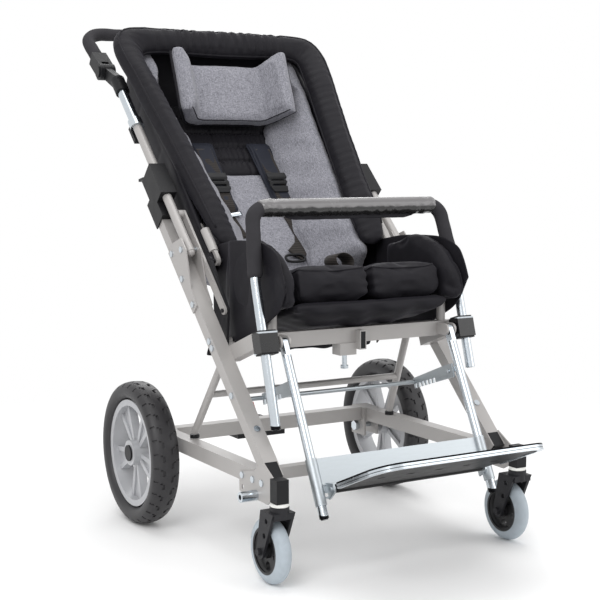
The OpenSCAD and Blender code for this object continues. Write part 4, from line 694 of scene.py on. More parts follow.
class BUGGY_OT_stage(bpy.types.Operator):
    """Camera at the photograph's angle, pale floor and soft studio light"""
    bl_idname = "buggy.stage"
    bl_label = "Stage"

    def execute(self, context):
        scene = context.scene
        scene.view_settings.view_transform = "Standard"
        eye = Vector((-1.35938, -2.33651, 0.75242))
        yaw, pitch, roll = math.radians(30.2211), math.radians(5.829), math.radians(0.138)
        ahead = Vector((math.sin(yaw) * math.cos(pitch), math.cos(yaw) * math.cos(pitch), -math.sin(pitch)))
        right = Vector((math.cos(yaw), -math.sin(yaw), 0))
        down = ahead.cross(right)
        across = right * math.cos(roll) + down * math.sin(roll)
        down = down * math.cos(roll) - right * math.sin(roll)
        camera = bpy.data.objects.new("camera", bpy.data.cameras.new("camera"))
        camera.data.sensor_width = 36
        camera.data.lens = 75.394
        turn = Matrix((across, -down, -ahead)).transposed().to_4x4()
        camera.matrix_world = Matrix.Translation(eye) @ turn
        scene.collection.objects.link(camera)
        scene.camera = camera

        world = bpy.data.worlds.new("studio")
        scene.world = world
        world.use_nodes = True
        tree = world.node_tree
        path = node(tree, "ShaderNodeLightPath").outputs
        # The room is white to the eye and in metal and glass, and lights the rest at a plain level.
        seen = path["Is Camera Ray"]
        for ray in ("Is Transmission Ray", "Is Glossy Ray"):
            seen = node(tree, "ShaderNodeMath", {"operation": "MAXIMUM"}, {0: seen, 1: path[ray]}).outputs[0]
        tree.links.new(remap(tree, seen, 0.74, 1.0), tree.nodes["Background"].inputs["Strength"])
        tree.nodes["Background"].inputs["Color"].default_value = (1, 1, 1, 1)

        clear()
        bpy.ops.mesh.primitive_circle_add(vertices=64, radius=3.2, fill_type="NGON", location=(0, 0, -0.0005))
        floor = context.object
        floor.name = "floor"
        bpy.ops.object.transform_apply(location=True, rotation=True, scale=True)
        # Matt paper sweep: pale and even, fading to the white of the room away from the wheels.
        m, t, s, p = surface("paper_sweep", Roughness=0.9, Specular_IOR_Level=0.1)
        s.inputs["Base Color"].default_value = (*linear("#FAFAFA"), 1)
        reach = node(t, "ShaderNodeVectorMath", {"operation": "LENGTH"}, {0: p}).outputs["Value"]
        near = node(t, "ShaderNodeMapRange", {"interpolation_type": "SMOOTHSTEP"}, {
            "Value": reach, "From Min": 0.75, "From Max": 1.7, "To Min": 1.0, "To Max": 0.0}).outputs["Result"]
        nothing = node(t, "ShaderNodeBsdfTransparent").outputs[0]
        mixed = node(t, "ShaderNodeMixShader", None, {0: near, 1: nothing, 2: s.outputs[0]}).outputs[0]
        t.links.new(mixed, t.nodes["Material Output"].inputs["Surface"])
        floor.data.materials.append(m)

        for name, place, size, power in (
                ("key", (-2.4, -2.2, 2.9), 2.2, 62), ("fill", (2.6, -2.4, 1.9), 2.6, 30),
                ("top", (0.2, 0.3, 3.4), 2.4, 34), ("rim", (1.2, 2.6, 2.2), 1.6, 20)):
            light = bpy.data.lights.new(name, "AREA")
            light.size = size
            light.energy = power
            lamp = bpy.data.objects.new(name, light)
            lamp.location = place
            lamp.rotation_euler = (Vector((0, 0, 0.5)) - Vector(place)).to_track_quat("-Z", "Y").to_euler()
            scene.collection.objects.link(lamp)
        return {"FINISHED"}


class BUGGY_OT_finishes(bpy.types.Operator):
    """Paint, plating, plastics and rubber of the frame's own parts"""
    bl_idname = "buggy.finishes"
    bl_label = "Frame finishes"

    def execute(self, context):
        made = {"frame_paint": powder_coated_steel(),
                "sleeved_paint": powder_coated_steel("sleeved_steel", 0.105),
                "zinc": zinc_plate(), "clamp": banded_clamp(),
                "navy": black_polyester("navy_polyester", colours().navy),
                "chrome": chrome_plate(), "black_plastic": moulded_nylon(), "rim": plated_rim(),
                "legs": chrome_plate("plugged_leg_tube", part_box("legrest_tubes")[0][2] + 0.012),
                "stem": chrome_plate("plugged_grab_tube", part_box("grab_bar")[0][2] + 0.011),
                "tray": moulded_nylon("tray_nylon", linear("#0B0B0C")),
                "tyre_rubber": tyre_rubber(), "rim_plastic": rim_plastic(), "black_rubber": mat_rubber(),
                "red_plastic": moulded_nylon("red_nylon", colours().pedal),
                "white_plastic": moulded_nylon("white_acetal", linear("#DEDEDA")),
                "black_steel": moulded_nylon("black_enamelled_steel", linear("#232326")),
                "black_foam": closed_cell_foam(), "black_fabric": black_polyester(),
                "melange_fabric": grey_melange(), "grey_vinyl": coated_vinyl(), "webbing": ribbed_webbing()}
        for finish_name, names in {
                "frame_paint": ("base_rails", "base_cross_tubes", "diagonals", "frame_plates", "strut_frame",
                                "fold_plates", "link_bar_left", "link_bar_right", "handle_tubes", "push_bar",
                                "seat_frame"),
                "sleeved_paint": ("back_frame",),
                "chrome": ("tie_down_sleeves", "rear_axles", "frame_fasteners", "telescopic_tubes"),
                "clamp": ("grab_clamps",), "stem": ("grab_bar",), "legs": ("legrest_tubes",),
                "rim": ("footplate_rim",), "zinc": ("toothed_plates", "foot_carrier"),
                "tray": ("footplate_tray",),
                "black_plastic": ("frame_plugs", "stem_housings", "hub_cap_left", "hub_cap_right",
                                  "lock_sleeves", "latch_lever_left", "latch_lever_right",
                                  "clamp_lever_left", "clamp_lever_right", "lower_knuckles",
                                  "upper_knuckles", "clamp_inserts", "brake_housing"),
                "black_steel": ("hinge_brackets",), "white_plastic": ("stem_washers",),
                "red_plastic": ("brake_pedal",), "black_rubber": ("footplate_mat",),
                "rim_plastic": ("rear_rim_left", "rear_rim_right"),
                "tyre_rubber": ("rear_tyre_left", "rear_tyre_right")}.items():
            for name in names:
                for place in NODES[name].material_slots:
                    place.material = made[finish_name]
        for side in ("left", "right"):
            low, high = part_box(f"caster_wheel_{side}")
            centre = tuple((a + b) / 2 for a, b in zip(low, high))
            for place in NODES[f"caster_wheel_{side}"].material_slots:
                place.material = caster_rubber(centre, 0.044)
            for place in NODES[f"caster_fork_{side}"].material_slots:
                c = place.material.node_tree.nodes["Principled BSDF"].inputs["Base Color"].default_value
                place.material = made["chrome"] if c[0] > 0.3 else made["black_steel"]
        return {"FINISHED"}


def look(name):
    """The finish of that name."""
    return bpy.data.materials[name]


# Inner and outer edge of the bolster, from a foot to the middle of its top: across and along the back
BOLSTER = [((0.162, 0.030), (0.190, 0.022)), ((0.154, 0.054), (0.207, 0.046)), ((0.154, 0.100), (0.218, 0.092)),
           ((0.158, 0.160), (0.225, 0.152)), ((0.163, 0.220), (0.231, 0.212)), ((0.169, 0.280), (0.238, 0.272)),
           ((0.175, 0.340), (0.245, 0.334)), ((0.182, 0.400), (0.253, 0.396)), ((0.189, 0.460), (0.261, 0.460)),
           ((0.196, 0.520), (0.268, 0.525)), ((0.201, 0.562), (0.273, 0.580)), ((0.202, 0.588), (0.270, 0.618)),
           ((0.198, 0.599), (0.257, 0.646)), ((0.187, 0.603), (0.234, 0.662)), ((0.155, 0.604), (0.185, 0.668)),
           ((0.100, 0.603), (0.110, 0.670)), ((0.0, 0.602), (0.0, 0.671))]


def bolster_edges(count):
    """Even stations along the bolster, left foot to right foot: inner edge, outer edge and distance."""
    knots = np.array([[*i, *o] for i, o in BOLSTER])
    left = knots * np.array([-1, 1, -1, 1])
    knots = np.vstack([left, knots[-2::-1]])
    middle = (knots[:, :2] + knots[:, 2:]) / 2
    reach = np.concatenate([[0], np.cumsum(np.linalg.norm(np.diff(middle, axis=0), axis=1))])
    even = np.linspace(0, reach[-1], count)
    smooth_knots = [np.array([curve(list(zip(reach, knots[:, k])), r) for r in even]) for k in range(4)]
    return np.stack(smooth_knots[:2], 1), np.stack(smooth_knots[2:], 1), even


class BUGGY_OT_bolster(bpy.types.Operator):
    """Padded rim around the back that faces inwards, with its welts, cross seams and puckers"""
    bl_idname = "buggy.bolster"
    bl_label = "Bolster"

    def execute(self, context):
        z = sizes()
        inner, outer, reach = bolster_edges(150)
        total = reach[-1]
        centre = (inner + outer) / 2
        wide = np.linalg.norm(outer - inner, axis=1)
        across = (outer - inner) / wide[:, None]

        def spot(i, u, w):
            """A point of station i: u across from inner to outer edge, w through its depth, both -1 to 1."""
            near = min(reach[i], total - reach[i])
            top = min(1.0, max(0.0, (near - 0.50) / 0.12))
            lean = math.radians(32 - 9 * top)
            b = z.bolster_thick / 2 * (0.62 + 0.38 * min(1.0, near / 0.12)) - 0.003
            end = math.sqrt(max(0.03, 1 - max(0.0, 1 - near / 0.022) ** 2))
            a = math.sqrt(max(0.0004, (wide[i] / 2 - 0.003) ** 2 - (b * math.sin(lean)) ** 2)) / math.cos(lean)
            a, b = a * end, b * end
            side = a * u * math.cos(lean) - b * w * math.sin(lean)
            up = a * u * math.sin(lean) + b * w * math.cos(lean)
            x, s = centre[i] + across[i] * side
            return BACK @ Vector((x, s, 0.0085 + 0.009 * min(1.0, max(0.0, (s - 0.2) / 0.3)) + up))

        rings = [[spot(i, x * 2, y * 2) for x, y in oval(1, 1, 2.6)] for i in range(len(reach))]
        ring = loft("bolster", rings)
        stuff(ring, cap=0.005, slack=0.02)
        local = inside(BACK, points(ring))
        gap = local[:, None, :2] - centre[None]
        nearest = np.argmin((gap ** 2).sum(2), axis=1)
        run = reach[nearest]
        side = (gap[np.arange(len(local)), nearest] * across[nearest]).sum(1) / (wide[nearest] / 2)
        facing = normals(ring) @ np.array(BACK.to_3x3() @ UP)
        front = np.clip(facing * 1.6, 0, 1)
        half = total / 2
        # Puckers: close across the top bar, sparse down the arms, deepest at the sewn inner edge.
        wave = np.sin(run * (2 * math.pi / 0.021) + 3.2 * ripple(local, 0.09, 5))
        top = band(np.abs(run - half), -1, 0.15, 0.012)
        edge = np.clip(-side, 0, 1) ** 2
        depth = (0.0021 * top + 0.0011 * edge + 0.0003) * wave * front
        depth += 0.0011 * ripple(local, 0.16, 3) + 0.0006 * ripple(local, 0.05, 4)
        # Cross seams where the top bar meets the corner panels.
        for at in (half - 0.158, half + 0.158):
            depth += 0.0055 * groove(run, at, 0.0035) * front
        press(ring, depth)
        dress(ring, look("black_polyester"), "backrest", ("back_bolster",))
        welts = []
        for u, w in ((0.965, 0.26), (-0.90, 0.42)):
            line = [spot(i, u, w) for i in range(4, len(reach) - 4)]
            welts.append(piping("welt", along_skin(ring, line, 0.0005), z.piping))
        dress(join("bolster_welts", welts), look("black_polyester"), "backrest")
        return {"FINISHED"}


class BUGGY_OT_shell(bpy.types.Operator):
    """Fabric bucket behind the padding, drawn over the tubes of the back frame"""
    bl_idname = "buggy.shell"
    bl_label = "Back shell"

    def execute(self, context):
        wall = 0.009
        verts, faces = [], []
        stations = np.concatenate([np.linspace(0.0, 0.54, 66), np.linspace(0.546, 0.668, 26)])
        for s in stations:
            crown = min(1.0, max(0.0, (s - CROWN_AT) / CROWN_LONG))
            rise = 0.085 * max(0.0, (0.10 - s) / 0.10) ** 1.2
            deep = -0.131 + 0.104 * (1 - math.sqrt(max(0.0, 1 - crown ** 2))) + rise
            wide = 0.2290 - 0.045 * max(0.0, (s - 0.615) / 0.053) ** 2.2
            loop = []
            for inset in (0.0, wall):
                side = wide - inset
                back = 0.2190 - inset - 0.03 * crown ** 2
                low = min(deep + inset, -0.016)
                r = min(0.030, (0.003 - low) * 0.45)
                edge = [(side + (back - side) * k / 10, 0.003 + (low + r - 0.003) * k / 10) for k in range(10)]
                edge += [(back - r + r * math.cos(a), low + r - r * math.sin(a))
                         for a in np.linspace(0, math.pi / 2, 8)]
                flat = [((back - r) * (1 - 2 * k / 24), low) for k in range(1, 24)]
                loop.append(edge + flat + [(-x, n) for x, n in reversed(edge)])
            # The foot is drawn forward at both sides and stays deep behind the pad.
            verts += [BACK @ Vector((x, s, n - rise * (1 - min(1.0, max(0.0, (abs(x) - 0.165) / 0.045)))))
                      for x, n in loop[0] + loop[1][::-1]]
        m = len(loop[0])
        n = 2 * m
        for i in range(len(stations) - 1):
            faces += [(i * n + k, i * n + (k + 1) % n, (i + 1) * n + (k + 1) % n, (i + 1) * n + k)
                      for k in range(n)]
        for base in (0, (len(stations) - 1) * n):
            faces += [(base + k, base + k + 1, base + n - 2 - k, base + n - 1 - k) for k in range(m - 1)]
        shell = piece("shell", verts, faces)
        local = inside(BACK, points(shell))
        behind = band(local[:, 2], -1, -0.118, 0.004)
        sag = np.clip(1 - (local[:, 0] / 0.19) ** 2, 0, 1)
        sag *= np.clip(1 - ((local[:, 1] - 0.3) / 0.27) ** 2, 0, 1)
        depth = -0.004 * behind * sag + 0.0010 * ripple(local, 0.12, 11) + 0.0006 * ripple(local, 0.04, 12)
        for at in (0.17, 0.34, 0.49):
            depth += 0.0018 * groove(local[:, 1], at, 0.004) * (local[:, 2] < -0.02)
        # Stitched channel that holds the frame tube along each edge.
        depth += 0.0022 * groove(local[:, 2], -0.030, 0.003) * (np.abs(local[:, 0]) > 0.19)
        press(shell, depth)
        apply(shell, "SUBSURF", levels=1, render_levels=1)
        smooth(shell)
        dress(shell, look("black_polyester"), "backrest", ("back_shell",))
        return {"FINISHED"}


class BUGGY_OT_back_pad(bpy.types.Operator):
    """Quilted black panel behind the shoulders and the grey panel below it"""
    bl_idname = "buggy.back_pad"
    bl_label = "Back pad"

    def execute(self, context):
        for name, low, high, material, slot in (
                ("back_pad_quilted", 0.336, 0.570, "black_polyester", "black_fabric"),
                ("back_pad_grey", 0.002, 0.344, "grey_melange", "melange_fabric")):
            def spot(u, v):
                return Vector((0.126 * u, (low + high) / 2 + (high - low) / 2 * v, -0.1165)), UP

            pad = pillow(name, BACK, spot, lambda u, v: 0.0100, power=7)
            stuff(pad, cap=0.003, skin=0.005)
            local = inside(BACK, points(pad))
            front = np.clip((local[:, 2] + 0.1155) / 0.006, 0, 1)
            depth = 0.0010 * ripple(local, 0.09, 21) + 0.0004 * ripple(local, 0.03, 22)
            if "quilted" in name:
                for at in np.arange(0.382, 0.57, 0.045):
                    depth += 0.0060 * groove(local[:, 1], at, 0.0045) * front
                    near = groove(local[:, 1], at, 0.016)
                    depth += 0.0015 * near * np.sin(local[:, 0] * (2 * math.pi / 0.013)) * front
                for at in (-0.034, 0.034):
                    depth += 0.0035 * groove(local[:, 0], at, 0.004) * front
            press(pad, depth)
            dress(pad, look(material), "backrest", ("back_pad",))
        return {"FINISHED"}


class BUGGY_OT_side_pads(bpy.types.Operator):
    """Grey padded cheeks on both sides of the back"""
    bl_idname = "buggy.side_pads"
    bl_label = "Side pads"

    def execute(self, context):
        foot, head, count = 0.018, 0.636, 40
        for side, name in SIDES:
            rings = []
            for k in range(count + 1):
                s = foot + (head - foot) * k / count
                thin = 1 / (1 + math.exp(-(s - 0.505) / 0.010))
                edge = 0.154 + 0.1010 * min(max(0.0, s - 0.10), 0.46)
                back = max(0.060, 0.071 + 0.128 * (s - 0.244)) * (1 - thin) + 0.172 * thin
                lip = edge - 0.002 - 0.034 / (1 + math.exp(-(s - 0.535) / 0.008))
                end = min(1.0, math.sqrt(max(0.05, 1 - max(0.0, 1 - min(s - 0.008, 0.648 - s) / 0.02) ** 2)))
                crown = min(1.0, max(0.0, (s - CROWN_AT) / CROWN_LONG))
                lift = 0.125 * (1 - math.sqrt(1 - crown ** 2))
                corners = [(back, -0.108 + lift), (0.1945 - 0.022 * crown, -0.119 + lift),
                           (edge + 0.014, -0.012), (lip, -0.003)]
                mid = (sum(c[0] for c in corners) / 4, sum(c[1] for c in corners) / 4)
                ring = []
                for i in range(4):
                    a, b = corners[i], corners[(i + 1) % 4]
                    for j in range(8):
                        f = j / 8
                        x, n = a[0] + (b[0] - a[0]) * f, a[1] + (b[1] - a[1]) * f
                        x, n = mid[0] + (x - mid[0]) * end, mid[1] + (n - mid[1]) * end
                        ring.append(BACK @ Vector((side * x, s, n)))
                rings.append(ring)
            pad = loft(f"side_pad_{name}", rings)
            stuff(pad, cap=0.004, slack=0.02)
            local = inside(BACK, points(pad))
            slope = local[:, 1] * 0.75 + np.abs(local[:, 0]) * 0.55
            face = np.clip((0.186 - np.abs(local[:, 0])) / 0.02, 0, 1)
            depth = 0.0016 * np.sin(slope * (2 * math.pi / 0.055) + 2.5 * ripple(local, 0.14, 31 + side)) * face
            depth += 0.0016 * ripple(local, 0.10, 33) + 0.0005 * ripple(local, 0.035, 34)
            press(pad, depth)
            dress(pad, look("grey_melange"), "backrest", ("side_pads",))
        return {"FINISHED"}


class BUGGY_OT_headrest(bpy.types.Operator):
    """Winged headrest of grey cloth with a boxed edge, and its dark back"""
    bl_idname = "buggy.headrest"
    bl_label = "Headrest"

    def execute(self, context):
        half, wing, angle, bend, tall, thick = 0.097, 0.084, math.radians(60), 0.032, 0.149, 0.017
        lean = BACK @ Matrix.Translation((0, 0.408, -0.040)) @ Matrix.Rotation(math.radians(22), 4, "X") \
            @ Matrix.Translation((0, 0.036, -0.040))
        cut = bend * math.tan(angle / 2)
        flat, arc = half - cut, bend * angle
        reach = flat + arc + wing - cut

        def strip(u):
            """Plan of the middle sheet: flat behind the head, then an arc and a straight wing on each side."""
            a, side = abs(u) * reach, math.copysign(1, u)
            turn = min(max((a - flat) / bend, 0.0), angle)
            rest = max(0.0, a - flat - arc)
            x = min(a, flat) + bend * math.sin(turn) + rest * math.cos(angle)
            y = bend * (1 - math.cos(turn)) + rest * math.sin(angle)
            return Vector((side * x, 0, y)), Vector((-side * math.sin(turn), 0, math.cos(turn)))

        def spot(u, v):
            p, n = strip(u)
            rise = min(1.0, max(0.0, (abs(u) * reach - flat) / (reach - flat)))
            foot, crest = 0.007 * rise, tall + 0.013 * rise * rise * (3 - 2 * rise)
            return p + Vector((0, foot + (crest - foot) * (v + 1) / 2, 0)), n

        pad = pillow("headrest_pad", lean, spot, lambda u, v: thick, 90, 30, power=8)
        stuff(pad, cap=0.004, skin=0.005)
        local = inside(lean, points(pad))
        depth = 0.0010 * ripple(local, 0.08, 41) + 0.0004 * ripple(local, 0.025, 42)
        press(pad, depth)
        dress(pad, look("grey_melange"), "headrest", ("headrest",))
        # Sewn line between the front panel and the boxed underside.
        line = []
        for k in range(121):
            p, n = spot(-0.985 + 1.97 * k / 120, -0.985)
            line.append(lean @ (p + n * (thick - 0.001)))
        welt = piping("headrest_welt", along_skin(pad, line, 0.0), 0.0012)
        dress(welt, look("black_polyester"), "headrest")
        # Dark back panel and the bracket that carries it.
        def behind(u, v):
            p, n = spot(u * 0.95, v * 0.93)
            return p - n * (thick + 0.002), n

        back = pillow("headrest_back", lean, behind, lambda u, v: 0.004, 60, 20, power=8)
        dress(back, look("black_polyester"), "headrest")
        posts = []
        for x in (-0.040, 0.040):
            clear()
            bpy.ops.mesh.primitive_cylinder_add(vertices=32, radius=0.006, depth=0.030)
            post = context.object
            put(post, np.array([BACK @ (Vector((x, 0.500, -0.0765)) + v.co) for v in post.data.vertices]))
            apply(post, "BEVEL", width=0.001, segments=2, limit_method="ANGLE")
            posts.append(post)
        post = join("headrest_posts", posts)
        post.location = (0, 0, 0)
        dress(post, look("moulded_nylon"), "headrest")
        return {"FINISHED"}


def ribbon(name, path, width, thick, out):
    """A flat strap along a path; out gives the way its face looks at each point."""
    edge = [(-width / 2, -thick / 2), (width / 2, -thick / 2), (width / 2, thick / 2), (-width / 2, thick / 2)]
    fine = []
    for a, b in zip(edge, edge[1:] + edge[:1]):
        fine += [(a[0] + (b[0] - a[0]) * f, a[1] + (b[1] - a[1]) * f) for f in (0.0, 0.06, 0.5, 0.94)]
    return sweep(name, path, lambda i: fine, out)


def ladder_buckle(name, axes, width, height):
    """A moulded ladder buckle: a frame with two slots, ribs and a lifting tongue."""
    clear()
    bpy.ops.mesh.primitive_grid_add(x_subdivisions=12, y_subdivisions=12, size=1)
    buckle = bpy.context.object
    buckle.name = name
    choose(buckle, lambda c: abs(c.x) < 0.36 and (0.08 < c.y < 0.2 or -0.2 < c.y < -0.08))
    bpy.ops.mesh.delete(type="FACE")
    bpy.ops.object.mode_set(mode="OBJECT")
    co = points(buckle)
    taper = 1 - 0.22 * np.clip((-co[:, 1] - 0.3) / 0.2, 0, 1)
    bars = 0.0022 * np.cos(co[:, 1] * 22) * (np.abs(co[:, 1]) < 0.36)
    put(buckle, np.stack([co[:, 0] * width * taper, co[:, 1] * height, 0.002 + bars], 1))
    apply(buckle, "SOLIDIFY", thickness=0.004, offset=0)
    apply(buckle, "BEVEL", width=0.0008, segments=2, limit_method="ANGLE")
    put(buckle, np.array([axes @ v.co for v in buckle.data.vertices]))
    smooth(buckle)
    return buckle


class BUGGY_OT_harness(bpy.types.Operator):
    """Shoulder pads, webbing, ladder buckles, ring buckle and lap loop"""
    bl_idname = "buggy.harness"
    bl_label = "Harness"

    def execute(self, context):
        face = BACK.to_3x3() @ UP
        strap_wide, strap_thick = 0.038, 0.0018
        straps, buckles, bindings = [], [], []
        for side, name in SIDES:
            x = -0.003 + 0.0775 * side

            def spot(u, v):
                s = 0.3220 + 0.1060 * v
                return Vector((x + 0.0305 * u - side * 0.002 * v, s, -0.0985)), UP

            pad = pillow(f"shoulder_pad_{name}", BACK, spot, lambda u, v: 0.0072, 16, 40, power=6)
            stuff(pad, cap=0.003, skin=0.004)
            local = inside(BACK, points(pad))
            edge = np.abs(local[:, 0] - x)
            press(pad, 0.0022 * groove(edge, 0.0245, 0.0020) + 0.0006 * ripple(local, 0.05, 51))
            dress(pad, look("navy_polyester"), "backrest", ("harness",))
            rim = []
            for a in np.linspace(0, 2 * math.pi, 121)[:-1]:
                rim.append(BACK @ spot(*squared(a, 0.25))[0])
            bindings.append(piping("binding", along_skin(pad, rim, 0.0004), 0.0026, True))
            path = rounded([BACK @ Vector(p) for p in (
                (x, 0.402, -0.0895), (x, 0.226, -0.0892), (x + side * 0.004, 0.203, -0.1012),
                (x + side * (0.012 if side > 0 else -0.010), 0.140, -0.1025))], 0.012)
            straps.append(ribbon("strap", path, strap_wide, strap_thick, lambda i: face))
            seat = BACK @ Matrix.Translation((x, 0.292, -0.0865)) @ Matrix.Rotation(math.radians(4), 4, "X")
            buckles.append(ladder_buckle("buckle", seat, 0.050, 0.056))
        dress(join("shoulder_pad_bindings", bindings), look("navy_polyester"), "backrest")
        # Lower straps: the right one ends at the ring buckle, the left one passes a slide bar.
        for line in (((0.087, 0.146, -0.1022), (0.074, 0.112, -0.099), (0.040, 0.082, -0.095)),
                     ((-0.091, 0.146, -0.1022), (-0.078, 0.110, -0.101), (-0.056, 0.060, -0.097))):
            path = rounded([BACK @ Vector(p) for p in line], 0.03)
            straps.append(ribbon("strap", path, strap_wide, strap_thick, lambda i: face))
        webbing = join("harness_webbing", straps)
        dress(webbing, look("ribbed_webbing"), "backrest")
        ring = []
        for k in range(36):
            u, v = squared(2 * math.pi * k / 36, 0.7)
            ring.append(BACK @ Vector((0.036 + 0.024 * u, 0.072 + 0.010 * v, -0.093)))
        buckles.append(piping("ring", ring, 0.0032, True))
        plastic = join("harness_buckles", buckles)
        dress(plastic, look("moulded_nylon"), "backrest")
        # Flat slide bar of plated wire where the left strap ends.
        path = [BACK @ Vector((-0.074 + 0.050 * k / 12, 0.205 + 0.008 * k / 12, -0.0960)) for k in range(-6, 7)]
        bar = sweep("harness_slide", path, lambda i: oval(0.011, 0.005, 3), lambda i: face)
        dress(bar, look("chrome_plate"), "backrest")
        # Lap strap that lies on the cushion, with its loop.
        up = SEAT.to_3x3() @ UP
        line = ((-0.012, 0.236, 0.0745), (-0.036, 0.170, 0.0765), (-0.060, 0.120, 0.0768),
                (-0.030, 0.085, 0.0772))
        path = rounded([SEAT @ Vector(p) for p in line], 0.012)
        lap = [ribbon("lap", path, 0.032, strap_thick, lambda i: up)]
        loop = []
        for a in np.linspace(0, 2 * math.pi, 33)[:-1]:
            u, v = math.cos(a), math.sin(a)
            loop.append(SEAT @ Vector((0.006 + 0.030 * u, 0.120 + 0.014 * u, 0.093 + 0.016 * v)))
        side = (SEAT.to_3x3() @ Vector((-0.42, 0.9, 0))).normalized()
        thin = [(-0.0009, -0.015), (0.0009, -0.015), (0.0009, 0.015), (-0.0009, 0.015)]
        lap.append(sweep("loop", loop, lambda i: thin, lambda i: side, True))
        lap = join("lap_strap", lap)
        dress(lap, look("ribbed_webbing"), "chassis")
        return {"FINISHED"}


class BUGGY_OT_seat(bpy.types.Operator):
    """Two cushion lobes with piped edges"""
    bl_idname = "buggy.seat"
    bl_label = "Seat cushion"

    def execute(self, context):
        # One lobe: its middle out and along the seat, half its width and length, heights of middle and seam
        out, along, half_wide, half_long, core, seam = 0.0845, 0.150, 0.0785, 0.147, 0.0355, 0.062
        for side, name in SIDES:
            x = out * side

            def spot(u, v):
                return Vector((x + half_wide * u, along + half_long * v, core)), UP

            def half(u, v):
                return 0.0315 + 0.004 * (1 - u * u) * (1 - v * v)

            lobe = pillow(f"seat_lobe_{name}", SEAT, spot, half, 34, 40, power=11)
            stuff(lobe, cap=0.005, slack=0.01)
            local = inside(SEAT, points(lobe))
            depth = 0.0012 * ripple(local, 0.10, 61 + side) + 0.0005 * ripple(local, 0.03, 62)
            inner = np.clip(1 - np.abs(local[:, 0] - 0.006 * side) / 0.03, 0, 1)
            depth += 0.0013 * inner * np.sin(local[:, 2] * (2 * math.pi / 0.017) + ripple(local, 0.05, 63) * 2)
            press(lobe, depth)
            dress(lobe, look("black_polyester"), "chassis", ("seat_cushion",))
            rim = []
            for a in np.linspace(0, 2 * math.pi, 97)[:-1]:
                u, v = squared(a, 0.2)
                rim.append(SEAT @ Vector((x + half_wide * u, along + half_long * v, seam)))
            welt = piping(f"seat_lobe_welt_{name}", along_skin(lobe, rim, 0.0002), 0.0017, True)
            dress(welt, look("black_polyester"), "chassis")
        return {"FINISHED"}


class BUGGY_OT_wings(bpy.types.Operator):
    """Padded wings beside the seat, with piped edges"""
    bl_idname = "buggy.wings"
    bl_label = "Seat wings"

    def execute(self, context):
        front, rear, out = -0.448, -0.199, 0.1925
        crest = [(front, 0.515), (-0.440, 0.545), (-0.420, 0.571), (-0.385, 0.600), (-0.340, 0.618),
                 (-0.300, 0.623), (-0.255, 0.612), (-0.215, 0.600), (rear, 0.594)]
        foot = [(front, 0.506), (-0.432, 0.495), (-0.390, 0.486), (-0.300, 0.472), (-0.215, 0.464),
                (rear, 0.468)]
        for side, name in SIDES:
            def spot(u, v):
                y = front + (rear - front) * (u + 1) / 2
                low, high = curve(foot, y), curve(crest, y)
                tuck = 0.006 * math.cos(v * math.pi / 2)
                up = (low + high) / 2 + (high - low) / 2 * v
                return Vector((side * (out + tuck * 0.4), y + AXLE_BACK, up)), Vector((side, 0, 0))

            wing = pillow(f"seat_wing_{name}", Matrix.Identity(4), spot, lambda u, v: 0.0155, 34, 26, power=4.5)
            stuff(wing, cap=0.005, slack=0.02)
            co = points(wing)
            depth = 0.0015 * ripple(co, 0.11, 71 + side) + 0.0006 * ripple(co, 0.035, 72)
            press(wing, depth)
            dress(wing, look("black_polyester"), "chassis", ("seat_wings",))
            line = [Vector((side * 0.2060, -0.447 + AXLE_BACK, z)) for z in np.linspace(0.508, 0.520, 6)]
            line += [Vector((side * 0.2060, y + AXLE_BACK, curve(crest, y) - 0.002))
                     for y in np.linspace(-0.446, -0.201, 70)]
            welt = piping(f"seat_wing_welt_{name}", along_skin(wing, line, 0.0004), 0.0022)
            dress(welt, look("black_polyester"), "chassis")
        return {"FINISHED"}


